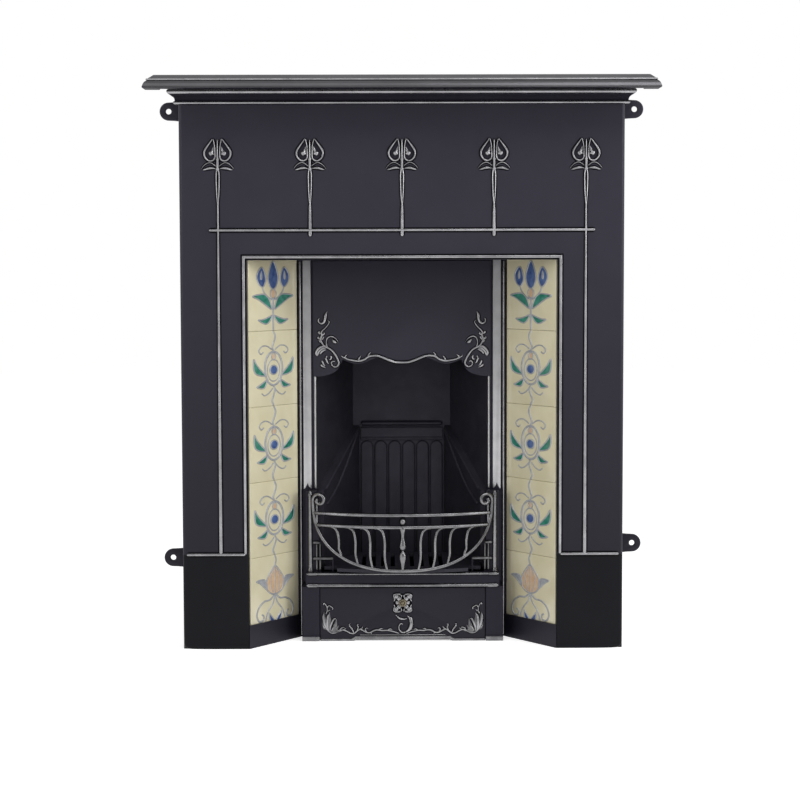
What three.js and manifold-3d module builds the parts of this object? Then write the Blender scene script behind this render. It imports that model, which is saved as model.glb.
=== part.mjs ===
// Cast iron combination fireplace: mantel surround, tiled cheeks and fire insert.
// Millimetres, +Z up, front facing -Y. Inside the group, y = 0 is the face of the big front
// casting and y grows towards the wall; the group is then moved so that the whole stands
// centred on the origin.

import * as THREE from 'three';
import { mergeVertices } from 'three/addons/utils/BufferGeometryUtils.js';
import Module from 'manifold-3d';

const wasm = await Module();
wasm.setup();

// ---------------------------------------------------------------- driving dimensions

// General
const GAP = 0.3; // clearance between pieces that touch
const WALL = 8; // wall of the large castings
const RELIEF = 4; // how far the raised beads stand off the face
const BEAD_WIDTH = 6;
const STEM_PROUD = 0.2; // extra relief of the stems
const CROSSING_PROUD = 0.5; // extra relief of the beads that others run into

// Mantel shelf
const SHELF_TOP = 1140;
const SHELF_PLATE = 8;
const SHELF_OVERHANG = 38.5; // flat top past each side of the body
const SHELF_TOP_PROJECTION = 79; // flat top in front of the surround face
const SHELF_RIM_FLARE = 21; // rim below the top stands this much further out
const SHELF_RIM_HEIGHT = 26;
const SHELF_RIM_RETURN = 30; // length of the rim at the ends, behind the front edge of the flat top

// Surround
const BODY_WIDTH = 884;
const OPENING_WIDTH = 618;
const RETURN_DEPTH = 65; // face to wall
const TOP_FLANGE_DEPTH = 58;
const BED_MOULD_HEIGHT = 43;
const BED_MOULD_PROJECTION = 20;
const PLINTH_BEAD_Z = 192;
const CROSS_BEAD_RISE = 53; // above the bead round the opening
const CROSS_BEAD_OVERHANG = 19; // past the outer stems
const STEM_PITCH = 182.5;
const STEM_FOOT_DROP = 13; // stems end this far below the cross bead
const TULIP_HEIGHT = 61; // from the leaves' foot to the petal tips
const TULIP_WIDTH = 53;
const TULIP_MARGIN = 69.7; // petal tips to the bed moulding
const TULIP_NECK = 52; // slit part of the stem under the leaves
const LEAF_SPAN = 66;
const FRAME_BEAD_INSET = 6.5; // opening edge to the bead round it
const CORNER_RADIUS = 10;

// Fixing lugs at the wall plane
const LUG_RADIUS = 18;
const LUG_THICKNESS = 8;
const LUG_HOLE_RADIUS = 5.5;
const LUG_REACH = 25; // body side to hole centre
const LOWER_LUG_HEIGHTS = { left: 178, right: 205 };
const UPPER_LUG_DROPS = { left: 52.7, right: 49.7 }; // below the top of the body

// Tiles and splayed cheeks
const TILE = 152.4;
const TILE_THICKNESS = 8;
const TILE_JOINT = 0.3;
const TILES_PER_SIDE = 5;
const TILE_SEAT_Z = 28;
const TILE_TOP_COVER = 10; // hidden above the opening
const TILE_EDGE_INSET = 2; // opening edge to tile edge
const SPLAY_ANGLE = 53.1; // degrees from the face plane
const PLINTH_LIP_HEIGHT = 19; // covers the foot of the lowest tile
const PLINTH_PROUD = 5;
const CHEEK_PLATE = 5;
const FLANGE = 6;
const FLANGE_REACH = 25;
const SOFFIT_PLATE = 6;
const SOFFIT_FLANGE_HEIGHT = 24;
const SOFFIT_FLANGE_WIDTH = 580;

// Fire insert
const INSERT_SETBACK = 4; // behind the inner edge of the tiles
const JAMB_WIDTH = 37;
const HEADER_HEIGHT = 52;
const STRIP_PROUD = 5;
const EDGE_BEAD_WIDTH = 6;
const STRIP_WIDTH = 16;
const STRIP_INSET = 10.5; // jamb edge to strip
const INNER_BEAD_WIDTH = 5;
const INNER_BEAD_PROUD = 2;
const EDGE_BEAD_INSET = 1.5;
const PILASTER_TOP_Z = 307;
const PILASTER_WIDTH = 26.5;
const PILASTER_PROUD = 38;
const PILASTER_LAP = 5; // past the inner edge of the jamb
const COLUMN_RADIUS = 4.4;
const COLUMN_INSET = 2; // column centre inside the strip's edge
const COLUMN_DROP = 4; // below the pilaster's top
const POST_PROUD = 57;
const POST_WIDTH = 34;
const POST_LAP = 6;
const FOOT_BAND_Z = 4;
const FOOT_BAND_HEIGHT = 8;
const FOOT_BAND_PROUD = 1.5;
const RAIL_TOP_Z = 142;
const RAIL_HEIGHT = 30;
const RAIL_THICKNESS = 12;
const UPPER_RAIL_BEAD = 5;
const LOWER_RAIL_BEAD = 7;
const RAIL_BEAD_PROUD = 3;
const FRET_STEP = 27; // height of the outer step of the corner fret
const FRET_RISE = 33; // and of the inner step over that
const FRET_REACH = 30; // inwards from the pilaster
const FRET_BAR = 3.5;

// Hood
const HOOD_PLATE = 5;
const HOOD_SIDE_CLEARANCE = 4.5; // hood edge to polished strip
const HOOD_CORNER_Z = 546.5;
const HOOD_WAVE_Z = 577.8;
const HOOD_WAVE_HEIGHT = 6.2;
const HOOD_WAVE_LENGTH = 92;
const HOOD_BEAD_RADIUS = 3;
const HOOD_BEAD_MARGIN = 2; // plate edge below the bead
const HOOD_LOBE_WIDTH = 61; // corner lobe outside the wave
const HOOD_LOBE_RISE = 17;
const HOOD_SCROLL_RADIUS = 2.2;
const HOOD_BUD_RADIUS = 5;
// Centre lines of the corner scrolls: [in from the hood's side, above its corner].
const HOOD_STALK = [
  [28, 130], [23, 116], [12, 114], [18, 104], [30, 106], [25, 94], [16, 81], [15, 70], [26, 59],
];
const HOOD_TENDRIL = [[44, 69], [30, 66], [32, 50], [44, 39], [50, 32], [47, 18], [39, 24]];

// Basket
const BAR_RADIUS = 3.4;
const BASKET_WIDTH = 367;
const BASKET_BOW = 48.5;
const BASKET_STANDOFF = 8; // bar centre in front of the pilasters
const BASKET_FOOT_Z = 151;
const SCROLL_Z = 291.5;
const SCROLL_RADIUS = 13;
const BOAT_ROUNDNESS = 2.45;
const TOP_BAR_Z = 264.5;
const SECOND_BAR_Z = 240;
const TWIG_OFFSETS = [36.5, 66, 96, 130];
const TWIG_RADIUS = 2.5;
const UPRIGHT_X = 175.3;
const PEG_RADIUS = 3;
const PEG_Z = 255;
const PEG_LENGTH = 12;

// Grate and ash pit
const GRATE_THICKNESS = 7;
const GRATE_LIFT = 2.7; // seat rib above the rail
const GRATE_SLOT = 9;
const GRATE_BAR = 11;
const GRATE_RIM = 8; // solid edge round the slots
const GRATE_NECK_WIDTH = 268;
const GRATE_FRONT_CLEARANCE = 5; // behind the basket bars
const COVER_THICKNESS = 6;
const COVER_SETBACK = 2;
const COVER_CLEARANCE = 1.5;
const COVER_STOP = 5; // lap of the stops behind the cover
const COVER_ARCH = 2.5; // rise of the middle of the bottom edge
const COVER_ARCH_WIDTH = 192;
const COVER_RELIEF = 3;
const COVER_RIM = 1.5;
const VINE_RADIUS = 1.8;
const VINE_Z = 21.5;
const VINE_SWING = 3;
const VINE_WAVE = 47;
const VINE_INSET = 20;
const PAN_WIDTH = 236;
const PAN_DEPTH = 142;
const PAN_HEIGHT = 55;
const PAN_SHEET = 1.6;
const PAN_HANDLE_REACH = 6;
const PAN_HANDLE_Z = 36;
const PAN_HANDLE_WIDTH = 66;
const KNOB_Z = 79;
const KNOB_RADIUS = 8;

// Outlines of the cover's relief: corner leaf [in from the end, height], the others [x, above the knob].
const COVER_CORNER_LEAF = [[24, 16], [8, 22], [0, 38], [3, 62], [11, 80], [14, 62], [24, 46], [27, 28]];
const COVER_ROSETTE = [
  [-19, -17], [-10, -19], [0, -14], [10, -19], [19, -17], [17, -7], [13, 0], [17, 9], [19, 19], [10, 20],
  [0, 15], [-10, 20], [-19, 19], [-17, 9], [-13, 0], [-17, -7],
];
const COVER_PENDANT = [
  [-16, -23], [-4, -33], [0, -25], [4, -33], [16, -23], [8, -45], [10, -58], [0, -53], [-10, -58],
  [-8, -45],
];

// Fire chamber
const CHAMBER_TOP_Z = 640;
const CHAMBER_DEPTH = 156; // insert back to fireback face
const FIREBACK_WIDTH = 208; // between the cheeks at the back
const FIREBACK_PLATE = 12;
const FIREBACK_MARGIN = 20;
const FIRE_CHEEK = 12;
const LINING = 12; // extra thickness of the lower cheeks
const LINING_BACK_Z = 427;
const LINING_FRONT_Z = 303;
const FLUTE_COUNT = 6;
const FLUTE_WIDTH = 26;
const FLUTE_PITCH = 30;
const FLUTE_TOP_Z = 392;
const FLUTE_PROUD = 5;
const FASCIA_HEIGHT = 27; // plain band over the flutes
const MOULDING_HEIGHT = 11; // and the moulding over that
const BAND_GAP = 3;
const LEDGE_DEPTH = 15; // carries the back of the grate
const LEDGE_HEIGHT = 14;
const PANEL_MARGIN = 4; // fluted panel to the cheek linings
const THROAT_PLATE = 8;
const THROAT_SLOT_WIDTH = 180;
const THROAT_SLOT_FRONT = 21; // insert back to slot
const THROAT_SLOT_LENGTH = 85;
const FLAP_THICKNESS = 4;
const FLAP_OVERLAP = 5;
const PIVOT_RADIUS = 3;
const PIVOT_EAR = 6;
const PIVOT_SETBACK = 8; // behind the slot
const PIVOT_RISE = 1; // above the flap
const PIVOT_OVERHANG = 10; // past each side of the flap
const LEVER_RADIUS = 4;
const LEVER_DROP = 50;

// Fasteners
const SCREW_RADIUS = 2.7;
const SCREW_GRIP = 4; // thread length in the far casting
const SCREW_HEAD_RADIUS = 6;
const SCREW_HEAD = 4;

// ---------------------------------------------------------------- derived places

const bodyHalf = BODY_WIDTH / 2;
const openingHalf = OPENING_WIDTH / 2;
const tilesTopZ = TILE_SEAT_Z + GAP + TILES_PER_SIDE * (TILE + TILE_JOINT) - TILE_JOINT;
const openingTopZ = tilesTopZ - TILE_TOP_COVER;
const bodyTopZ = SHELF_TOP - SHELF_PLATE - GAP;
const frameBeadX = openingHalf + FRAME_BEAD_INSET;
const frameBeadZ = openingTopZ + FRAME_BEAD_INSET;
const crossBeadZ = frameBeadZ + CROSS_BEAD_RISE;
const stemFootZ = crossBeadZ - STEM_FOOT_DROP;
const bedFootZ = bodyTopZ - BED_MOULD_HEIGHT;
const tulipTipZ = bedFootZ - TULIP_MARGIN;
const tulipBaseZ = tulipTipZ - TULIP_HEIGHT;

// Plan of the right-hand splay: the tile face runs inwards and back from its outer edge.
const splay = THREE.MathUtils.degToRad(SPLAY_ANGLE);
const splayAlong = new THREE.Vector2(-Math.cos(splay), Math.sin(splay));
const splayBehind = new THREE.Vector2(Math.sin(splay), Math.cos(splay));
const tileOuter = new THREE.Vector2(openingHalf - TILE_EDGE_INSET, WALL + 2);
const tileInner = splayPoint(TILE, 0);

const insertFace = tileInner.y + INSERT_SETBACK;
const insertBack = insertFace + WALL;
const insertHalf = tileInner.x - 1.5;
const insertTopZ = openingTopZ + SOFFIT_PLATE + 3;
const jambInner = insertHalf - JAMB_WIDTH;
const stripOuter = insertHalf - STRIP_INSET;
const stripInner = stripOuter - STRIP_WIDTH;
const hoodHalf = stripInner - HOOD_SIDE_CLEARANCE;
const hoodTopZ = openingTopZ - 2;
const hoodBack = insertFace - GAP;
const hoodFace = hoodBack - HOOD_PLATE;

const pilasterFace = insertFace - PILASTER_PROUD;
const pilasterInner = jambInner - PILASTER_LAP;
const pilasterOuter = pilasterInner + PILASTER_WIDTH;
const postFace = insertFace - POST_PROUD;
const postInner = jambInner - POST_LAP;
const postOuter = postInner + POST_WIDTH;
const railBottomZ = RAIL_TOP_Z - RAIL_HEIGHT;

const basketHalf = BASKET_WIDTH / 2;
const basketEndY = pilasterFace - BASKET_STANDOFF;
const bowRadius = (basketHalf ** 2 + BASKET_BOW ** 2) / (2 * BASKET_BOW);

const grateNeckHalf = GRATE_NECK_WIDTH / 2;
const grateZ = RAIL_TOP_Z + GRATE_LIFT + GAP;
const coverFace = postFace + COVER_SETBACK;
const coverBack = coverFace + COVER_THICKNESS;
const coverHalf = postInner - COVER_CLEARANCE;
const coverTopZ = railBottomZ - COVER_CLEARANCE;
const panFront = coverBack + GAP + PAN_HANDLE_REACH + GAP;

const chamberFront = insertBack + GAP;
const firebackHalf = FIREBACK_WIDTH / 2;
const firebackFace = chamberFront + CHAMBER_DEPTH;
const firebackBack = firebackFace + FIREBACK_PLATE;
const throatZ = CHAMBER_TOP_Z + GAP;
const throatTopZ = throatZ + THROAT_PLATE;
const slotHalf = THROAT_SLOT_WIDTH / 2;
const slotFront = insertBack + THROAT_SLOT_FRONT;
const slotBack = slotFront + THROAT_SLOT_LENGTH;
const flapZ = throatTopZ + GAP;
const flapTopZ = flapZ + FLAP_THICKNESS;
const pivotY = slotBack + PIVOT_SETBACK;
const pivotZ = flapTopZ + PIVOT_RISE;
const pivotHalf = slotHalf + FLAP_OVERLAP + PIVOT_OVERHANG;
const leverY = slotFront + 0.47 * THROAT_SLOT_LENGTH;

const rear = firebackBack + GAP + SCREW_HEAD;
const front = -(SHELF_TOP_PROJECTION + SHELF_RIM_FLARE);

// ---------------------------------------------------------------- geometry helpers

// A point of the right-hand splay: along the tile face from its outer edge, then behind it.
function splayPoint(along, behind) {
  return tileOuter
    .clone()
    .addScaledVector(splayAlong, along)
    .addScaledVector(splayBehind, behind);
}

// How far along the splay the line at this depth behind the face reaches the given y.
function splayAlongAt(y, behind) {
  return (y - tileOuter.y - behind * splayBehind.y) / splayAlong.y;
}

function shapeOf(points) {
  return new THREE.Shape(points.map((p) => (p.isVector2 ? p : new THREE.Vector2(p[0], p[1]))));
}

function block(x0, x1, y0, y1, z0, z1) {
  const box = new THREE.BoxGeometry(x1 - x0, y1 - y0, z1 - z0);
  return box.translate((x0 + x1) / 2, (y0 + y1) / 2, (z0 + z1) / 2);
}

// Extrusions of an outline drawn in front view (x, z), plan (x, y) or side view (y, z).
function frontPlate(shape, y0, y1, curveSegments = 5) {
  const slab = new THREE.ExtrudeGeometry(shape, { depth: y1 - y0, bevelEnabled: false, curveSegments });
  return slab.rotateX(Math.PI / 2).translate(0, y1, 0);
}

function planPlate(shape, z0, z1, curveSegments = 5) {
  const slab = new THREE.ExtrudeGeometry(shape, { depth: z1 - z0, bevelEnabled: false, curveSegments });
  return slab.translate(0, 0, z0);
}

function sidePlate(shape, x0, x1) {
  const slab = new THREE.ExtrudeGeometry(shape, { depth: x1 - x0, bevelEnabled: false });
  return slab.rotateX(Math.PI / 2).rotateZ(Math.PI / 2).translate(x0, 0, 0);
}

// A round rod between two points.
function rod(from, to, radius, sides = 8) {
  const start = new THREE.Vector3(...from);
  const along = new THREE.Vector3(...to).sub(start);
  const length = along.length();
  const pin = new THREE.CylinderGeometry(radius, radius, length, sides);
  const turn = new THREE.Quaternion().setFromUnitVectors(new THREE.Vector3(0, 1, 0), along.normalize());
  const middle = start.addScaledVector(along, length / 2);
  return pin.applyQuaternion(turn).translate(middle.x, middle.y, middle.z);
}

// A round hole whose flats clear a shaft of this radius.
function bore(from, to, radius, sides = 8) {
  return rod(from, to, (radius + GAP) / Math.cos(Math.PI / sides), sides);
}

// A round bar along a curve.
function bentBar(curve, radius, steps, sides = 6) {
  const section = new THREE.Shape();
  for (let i = 0; i < sides; i += 1) {
    const angle = (2 * Math.PI * (i + 0.5)) / sides;
    section[i ? 'lineTo' : 'moveTo'](radius * Math.cos(angle), radius * Math.sin(angle));
  }
  return new THREE.ExtrudeGeometry(section, { steps, extrudePath: curve, bevelEnabled: false });
}

function ball(x, y, z, radius, sides = 8) {
  return new THREE.SphereGeometry(radius, sides, sides / 2).rotateX(Math.PI / 2).translate(x, y, z);
}

// A turned piece standing on z: profile points are [radius, height].
function turned(profile, x, y, z, sides = 10) {
  const lathe = new THREE.LatheGeometry(profile.map(([r, h]) => new THREE.Vector2(r, h)), sides);
  return lathe.rotateX(Math.PI / 2).translate(x, y, z);
}

// A moulding that runs along the front and returns along both ends, mitred at the corners.
// The profile is a closed outline of [distance out, z], anticlockwise.
function wrappedMoulding(profile, half, frontY, backY) {
  const stations = [
    (out) => [-(half + out), backY],
    (out) => [-(half + out), frontY - out],
    (out) => [half + out, frontY - out],
    (out) => [half + out, backY],
  ];
  const positions = [];
  stations.forEach((station) => profile.forEach(([out, z]) => positions.push(...station(out), z)));
  const n = profile.length;
  const index = [];
  for (let s = 0; s < stations.length - 1; s += 1) {
    for (let i = 0; i < n; i += 1) {
      const a = s * n + i;
      const b = s * n + ((i + 1) % n);
      index.push(a, b, b + n, a, b + n, a + n);
    }
  }
  const outline = profile.map(([out, z]) => new THREE.Vector2(out, z));
  THREE.ShapeUtils.triangulateShape(outline, []).forEach(([a, b, c]) => {
    index.push(a, c, b);
    const last = (stations.length - 1) * n;
    index.push(last + a, last + b, last + c);
  });
  const geometry = new THREE.BufferGeometry();
  geometry.setAttribute('position', new THREE.Float32BufferAttribute(positions, 3));
  geometry.setIndex(index);
  return geometry;
}

// ---------------------------------------------------------------- solids

function solidOf(piece) {
  if (!piece.isBufferGeometry) return piece;
  const bare = new THREE.BufferGeometry();
  bare.setAttribute('position', piece.attributes.position);
  if (piece.index) bare.setIndex(piece.index);
  const merged = mergeVertices(bare, 1e-4);
  const corners = merged.index.array;
  const triVerts = [];
  for (let i = 0; i < corners.length; i += 3) {
    const [a, b, c] = [corners[i], corners[i + 1], corners[i + 2]];
    if (a !== b && b !== c && c !== a) triVerts.push(a, b, c);
  }
  const vertProperties = new Float32Array(merged.attributes.position.array);
  const facing = new wasm.Mesh({ numProp: 3, vertProperties, triVerts: new Uint32Array(triVerts) });
  const solid = new wasm.Manifold(facing);
  if (solid.volume() > 0) return solid;
  for (let i = 0; i < triVerts.length; i += 3) {
    [triVerts[i + 1], triVerts[i + 2]] = [triVerts[i + 2], triVerts[i + 1]];
  }
  const turnedOut = new wasm.Mesh({ numProp: 3, vertProperties, triVerts: new Uint32Array(triVerts) });
  return new wasm.Manifold(turnedOut);
}

function join(...pieces) {
  return pieces.flat().map(solidOf).reduce((whole, piece) => whole.add(piece));
}

function cut(base, ...tools) {
  return tools.flat().map(solidOf).reduce((whole, tool) => whole.subtract(tool), solidOf(base));
}

function common(a, b) {
  return solidOf(a).intersect(solidOf(b));
}

function geometryOf(piece) {
  const { vertProperties, triVerts } = solidOf(piece).getMesh();
  const geometry = new THREE.BufferGeometry();
  geometry.setAttribute('position', new THREE.BufferAttribute(new Float32Array(vertProperties), 3));
  geometry.setIndex(new THREE.BufferAttribute(new Uint32Array(triVerts), 1));
  geometry.computeVertexNormals();
  return geometry;
}

function moved(piece, x, y, z) {
  return solidOf(geometryOf(piece).translate(x, y, z));
}

// The same piece on the other side of the centre line.
function mirrored(piece) {
  return solidOf(geometryOf(piece).scale(-1, 1, 1));
}

function bothSides(piece) {
  return [piece, mirrored(piece)];
}

// ---------------------------------------------------------------- materials and scene graph

function finish(color, roughness, metalness) {
  return new THREE.MeshStandardMaterial({ color, roughness, metalness });
}

const blackIron = finish(0x2b2b31, 0.5, 0.6);
const brightIron = finish(0x8a8a90, 0.35, 0.9);
const sootyIron = finish(0x24242a, 0.75, 0.4);
const glaze = finish(0xd8d2a8, 0.2, 0);
const steel = finish(0x5d6064, 0.5, 0.8);
const bronze = finish(0x6d675a, 0.35, 0.9);

const fireplace = new THREE.Group();
fireplace.position.y = -(front + rear) / 2;

function add(name, piece, material) {
  const mesh = new THREE.Mesh(geometryOf(piece), material);
  mesh.name = name;
  fireplace.add(mesh);
}

// ---------------------------------------------------------------- fasteners

const screwAxes = {
  back: (piece) => piece.rotateX(Math.PI / 2), // shank towards the front, head at the back
  front: (piece) => piece.rotateX(-Math.PI / 2),
  up: (piece) => piece, // shank up, head below
  down: (piece) => piece.rotateX(Math.PI),
};

// A screw whose head bears on a part of this thickness; the seat is the bearing face.
function screw(seat, thickness, heading) {
  const shank = thickness + GAP + SCREW_GRIP;
  const profile = [
    [0, -GAP - SCREW_HEAD],
    [SCREW_HEAD_RADIUS, -GAP - SCREW_HEAD],
    [SCREW_HEAD_RADIUS, -GAP],
    [SCREW_RADIUS, -GAP],
    [SCREW_RADIUS, shank],
    [0, shank],
  ];
  const lathe = new THREE.LatheGeometry(profile.map(([r, h]) => new THREE.Vector2(r, h)), 8);
  return screwAxes[heading](lathe.rotateX(Math.PI / 2)).translate(...seat);
}

// The hole for it, through the part and a little deeper than the thread beyond.
function screwHole(seat, thickness, heading) {
  const deep = thickness + 2 * GAP + SCREW_GRIP;
  const drill = bore([0, 0, -1], [0, 0, deep], SCREW_RADIUS);
  return screwAxes[heading](drill).translate(...seat);
}

const SHELF_SCREW_Y = 36;
const shelfScrews = [-300, 0, 300].map((x) => [x, SHELF_SCREW_Y, bodyTopZ - WALL]);
const frameScrewX = splayPoint(splayAlongAt(WALL + GAP, TILE_THICKNESS), TILE_THICKNESS).x + 15;
const frameScrews = [120, 700].map((z) => [frameScrewX, WALL + GAP + FLANGE, z]);
const soffitScrews = [-150, 150].map((x) => [
  x,
  WALL + GAP + FLANGE,
  openingTopZ + SOFFIT_FLANGE_HEIGHT - SCREW_HEAD_RADIUS - 2,
]);
const insertScrewX = insertHalf - 6;
const insertScrews = [90, 690].map((z) => [insertScrewX, chamberFront + FLANGE, z]);
const cheekScrewX = cheekLineX(FLANGE, FIRE_CHEEK) + SCREW_HEAD_RADIUS + 1;
const cheekScrews = [350, 600].map((z) => [cheekScrewX, chamberFront + FLANGE, z]);
const hoodScrews = [-1, 1].map((side) => [side * 150, insertBack, hoodTopZ - 16]);
const firebackScrews = [200, 560].map((z) => [firebackHalf + 8.5, firebackBack, z]);
const throatScrews = [[cheekLineX(56, FIRE_CHEEK / 2), chamberFront + 56, throatTopZ]];

function headed(name, seats, thickness, heading, sides = ['']) {
  sides.forEach((side) => {
    seats.forEach((seat, i) => {
      const piece = screw(seat, thickness, heading);
      const number = seats.length > 1 ? `_${i + 1}` : '';
      add(`${side}${name}${number}`, side === 'left_' ? mirrored(piece) : piece, steel);
    });
  });
}

const SIDES = ['left_', 'right_'];

// ---------------------------------------------------------------- surround

// Raised bead with a rounded back, drawn across its length; sunk a little into the face.
function beadSection(width, proud) {
  return [
    [-width / 2, 1],
    [-width / 2, -0.45 * proud],
    [-width / 4, -proud],
    [width / 4, -proud],
    [width / 2, -0.45 * proud],
    [width / 2, 1],
  ];
}

function uprightBead(x, z0, z1, face = 0, width = BEAD_WIDTH, proud = RELIEF) {
  const section = beadSection(width, proud).map(([u, v]) => [x + u, face + v]);
  return planPlate(shapeOf(section), z0, z1);
}

function levelBead(z, x0, x1, face = 0, width = BEAD_WIDTH, proud = RELIEF) {
  const section = beadSection(width, proud).map(([u, v]) => [face + v, z + u]);
  return sidePlate(shapeOf(section), x0, x1);
}

// A closed bud of two petals over a pair of leaves, on a stem that is slit near the top and
// runs down to the given height.
function tulip(x, footZ) {
  const base = tulipBaseZ;
  const tip = tulipTipZ;
  const spread = TULIP_WIDTH / 2;
  const belly = base + 0.54 * TULIP_HEIGHT;
  const cup = base + 0.31 * TULIP_HEIGHT;
  const petal = new THREE.Shape();
  petal.moveTo(0.04 * spread, tip - 7);
  petal.quadraticCurveTo(0.34 * spread, tip + 3, 0.38 * spread, tip);
  petal.bezierCurveTo(0.83 * spread, tip - 13, spread, belly + 7, spread, belly);
  petal.bezierCurveTo(0.94 * spread, cup + 4, 0.6 * spread, cup - 1, 0.3 * spread, cup);
  petal.quadraticCurveTo(0.11 * spread, cup + 1, 0.04 * spread, cup + 6);
  const leafTip = LEAF_SPAN / 2;
  const leaf = new THREE.Shape();
  leaf.moveTo(0, base);
  leaf.quadraticCurveTo(0.55 * leafTip, base - 1, leafTip, base + 6);
  leaf.quadraticCurveTo(0.48 * leafTip, base + 18, 0, base + 8);
  const neckHalf = 0.75 * BEAD_WIDTH;
  const slitHalf = 0.27 * BEAD_WIDTH;
  const neckFoot = base - TULIP_NECK;
  const slit = shapeOf([[0, neckFoot + 4], [slitHalf, base - 8], [-slitHalf, base - 8]]);
  const half = join(frontPlate(petal, -RELIEF, 1, 3), frontPlate(leaf, -0.6 * RELIEF, 1, 3));
  const stem = join(
    block(-neckHalf, neckHalf, -RELIEF, 1, neckFoot, base + 2),
    uprightBead(0, footZ, base - 1, 0, BEAD_WIDTH, RELIEF + STEM_PROUD),
  );
  const bud = join(
    bothSides(half),
    uprightBead(0, base - 2, tip - 1, 0, 0.67 * BEAD_WIDTH),
    cut(stem, frontPlate(slit, -2 * RELIEF, -0.5)),
  );
  return moved(bud, x, 0, 0);
}

function lug(x, z) {
  const side = Math.sign(x);
  const ear = new THREE.Shape();
  ear.absarc(0, 0, LUG_RADIUS, -Math.PI / 2, Math.PI / 2, false);
  ear.lineTo(-LUG_REACH - WALL / 2, LUG_RADIUS + 2);
  ear.lineTo(-LUG_REACH - WALL / 2, -LUG_RADIUS - 2);
  const plate = frontPlate(ear, RETURN_DEPTH - LUG_THICKNESS, RETURN_DEPTH, 8);
  const hole = rod([0, 0, 0], [0, RETURN_DEPTH + 1, 0], LUG_HOLE_RADIUS, 14);
  const drilled = cut(plate, hole);
  return moved(side < 0 ? mirrored(drilled) : drilled, x, 0, z);
}

function surroundFront() {
  const face = new THREE.Shape();
  face.moveTo(openingHalf, 0);
  face.lineTo(bodyHalf - CORNER_RADIUS, 0);
  face.quadraticCurveTo(bodyHalf, 0, bodyHalf, CORNER_RADIUS);
  face.lineTo(bodyHalf, bodyTopZ);
  face.lineTo(-bodyHalf, bodyTopZ);
  face.lineTo(-bodyHalf, CORNER_RADIUS);
  face.quadraticCurveTo(-bodyHalf, 0, CORNER_RADIUS - bodyHalf, 0);
  face.lineTo(-openingHalf, 0);
  face.lineTo(-openingHalf, openingTopZ);
  face.lineTo(openingHalf, openingTopZ);

  const bedMould = [
    [0, 0], [0.35, 0.02], [0.42, 0.07], [0.35, 0.14], [0.3, 0.19], [0.36, 0.3], [0.62, 0.4], [0.66, 0.44],
    [0.9, 0.465], [1, 0.57], [0.9, 0.675], [0.5, 0.72], [0.5, 1], [0, 1],
  ].map(([out, up]) => [out ? out * BED_MOULD_PROJECTION : -WALL / 2, bedFootZ + up * BED_MOULD_HEIGHT]);

  const outerStem = 2 * STEM_PITCH;
  const frameFoot = PLINTH_BEAD_Z - BEAD_WIDTH / 2;
  const plinthBeadEnd = bodyHalf - CORNER_RADIUS;
  const beads = [
    levelBead(crossBeadZ, -outerStem - CROSS_BEAD_OVERHANG, outerStem + CROSS_BEAD_OVERHANG),
    levelBead(frameBeadZ, -frameBeadX, frameBeadX, 0, BEAD_WIDTH, RELIEF + CROSSING_PROUD),
    bothSides(uprightBead(frameBeadX, frameFoot, frameBeadZ + BEAD_WIDTH / 2)),
    bothSides(levelBead(PLINTH_BEAD_Z, frameBeadX, plinthBeadEnd, 0, BEAD_WIDTH, RELIEF + CROSSING_PROUD)),
  ].flat();
  const tulips = [
    ...[-outerStem, outerStem].map((x) => tulip(x, PLINTH_BEAD_Z)),
    ...[-STEM_PITCH, 0, STEM_PITCH].map((x) => tulip(x, stemFootZ)),
  ];
  const lugs = [
    lug(-bodyHalf - LUG_REACH, LOWER_LUG_HEIGHTS.left),
    lug(-bodyHalf - LUG_REACH, bodyTopZ - UPPER_LUG_DROPS.left),
    lug(bodyHalf + LUG_REACH, LOWER_LUG_HEIGHTS.right),
    lug(bodyHalf + LUG_REACH, bodyTopZ - UPPER_LUG_DROPS.right),
  ];
  const sideReturn = block(bodyHalf - WALL, bodyHalf, WALL / 2, RETURN_DEPTH, 0, bodyTopZ);
  const flangeHalf = bodyHalf - 1;
  const topFlange = block(-flangeHalf, flangeHalf, WALL / 2, TOP_FLANGE_DEPTH, bodyTopZ - WALL, bodyTopZ);
  const whole = join(
    frontPlate(face, 0, WALL),
    bothSides(sideReturn),
    topFlange,
    wrappedMoulding(bedMould, bodyHalf, 0, RETURN_DEPTH),
    beads,
    tulips,
    lugs,
  );
  return cut(
    whole,
    shelfScrews.map((seat) => screwHole(seat, WALL, 'up')),
    bothSides(join(frameScrews.map((seat) => screwHole(seat, FLANGE, 'back')))),
    soffitScrews.map((seat) => screwHole(seat, FLANGE, 'back')),
  );
}

// ---------------------------------------------------------------- shelf

function mantelShelf() {
  const top = SHELF_TOP;
  const inner = [-0.3 * SHELF_RIM_FLARE, top - SHELF_PLATE];
  const rim = [
    [0.5, 0.26], [0.58, 0], [0.95, 0], [1, 0.1], [0.97, 0.26], [0.86, 0.4], [0.7, 0.47], [0.66, 0.56],
    [0.58, 0.6], [0.3, 0.81], [0, 1], [-0.3, 1],
  ].map(([out, up]) => [out * SHELF_RIM_FLARE, top - (1 - up) * SHELF_RIM_HEIGHT]);
  const half = bodyHalf + SHELF_OVERHANG;
  const lap = 0.25 * SHELF_RIM_FLARE;
  const plateHalf = half - lap;
  const plateFront = lap - SHELF_TOP_PROJECTION;
  const rimBack = SHELF_RIM_RETURN - SHELF_TOP_PROJECTION;
  const plate = block(-plateHalf, plateHalf, plateFront, RETURN_DEPTH, top - SHELF_PLATE, top);
  return cut(
    join(wrappedMoulding([inner, ...rim], half, -SHELF_TOP_PROJECTION, rimBack), plate),
    shelfScrews.map((seat) => screwHole(seat, WALL, 'up')),
  );
}

// ---------------------------------------------------------------- tiled cheeks

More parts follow.
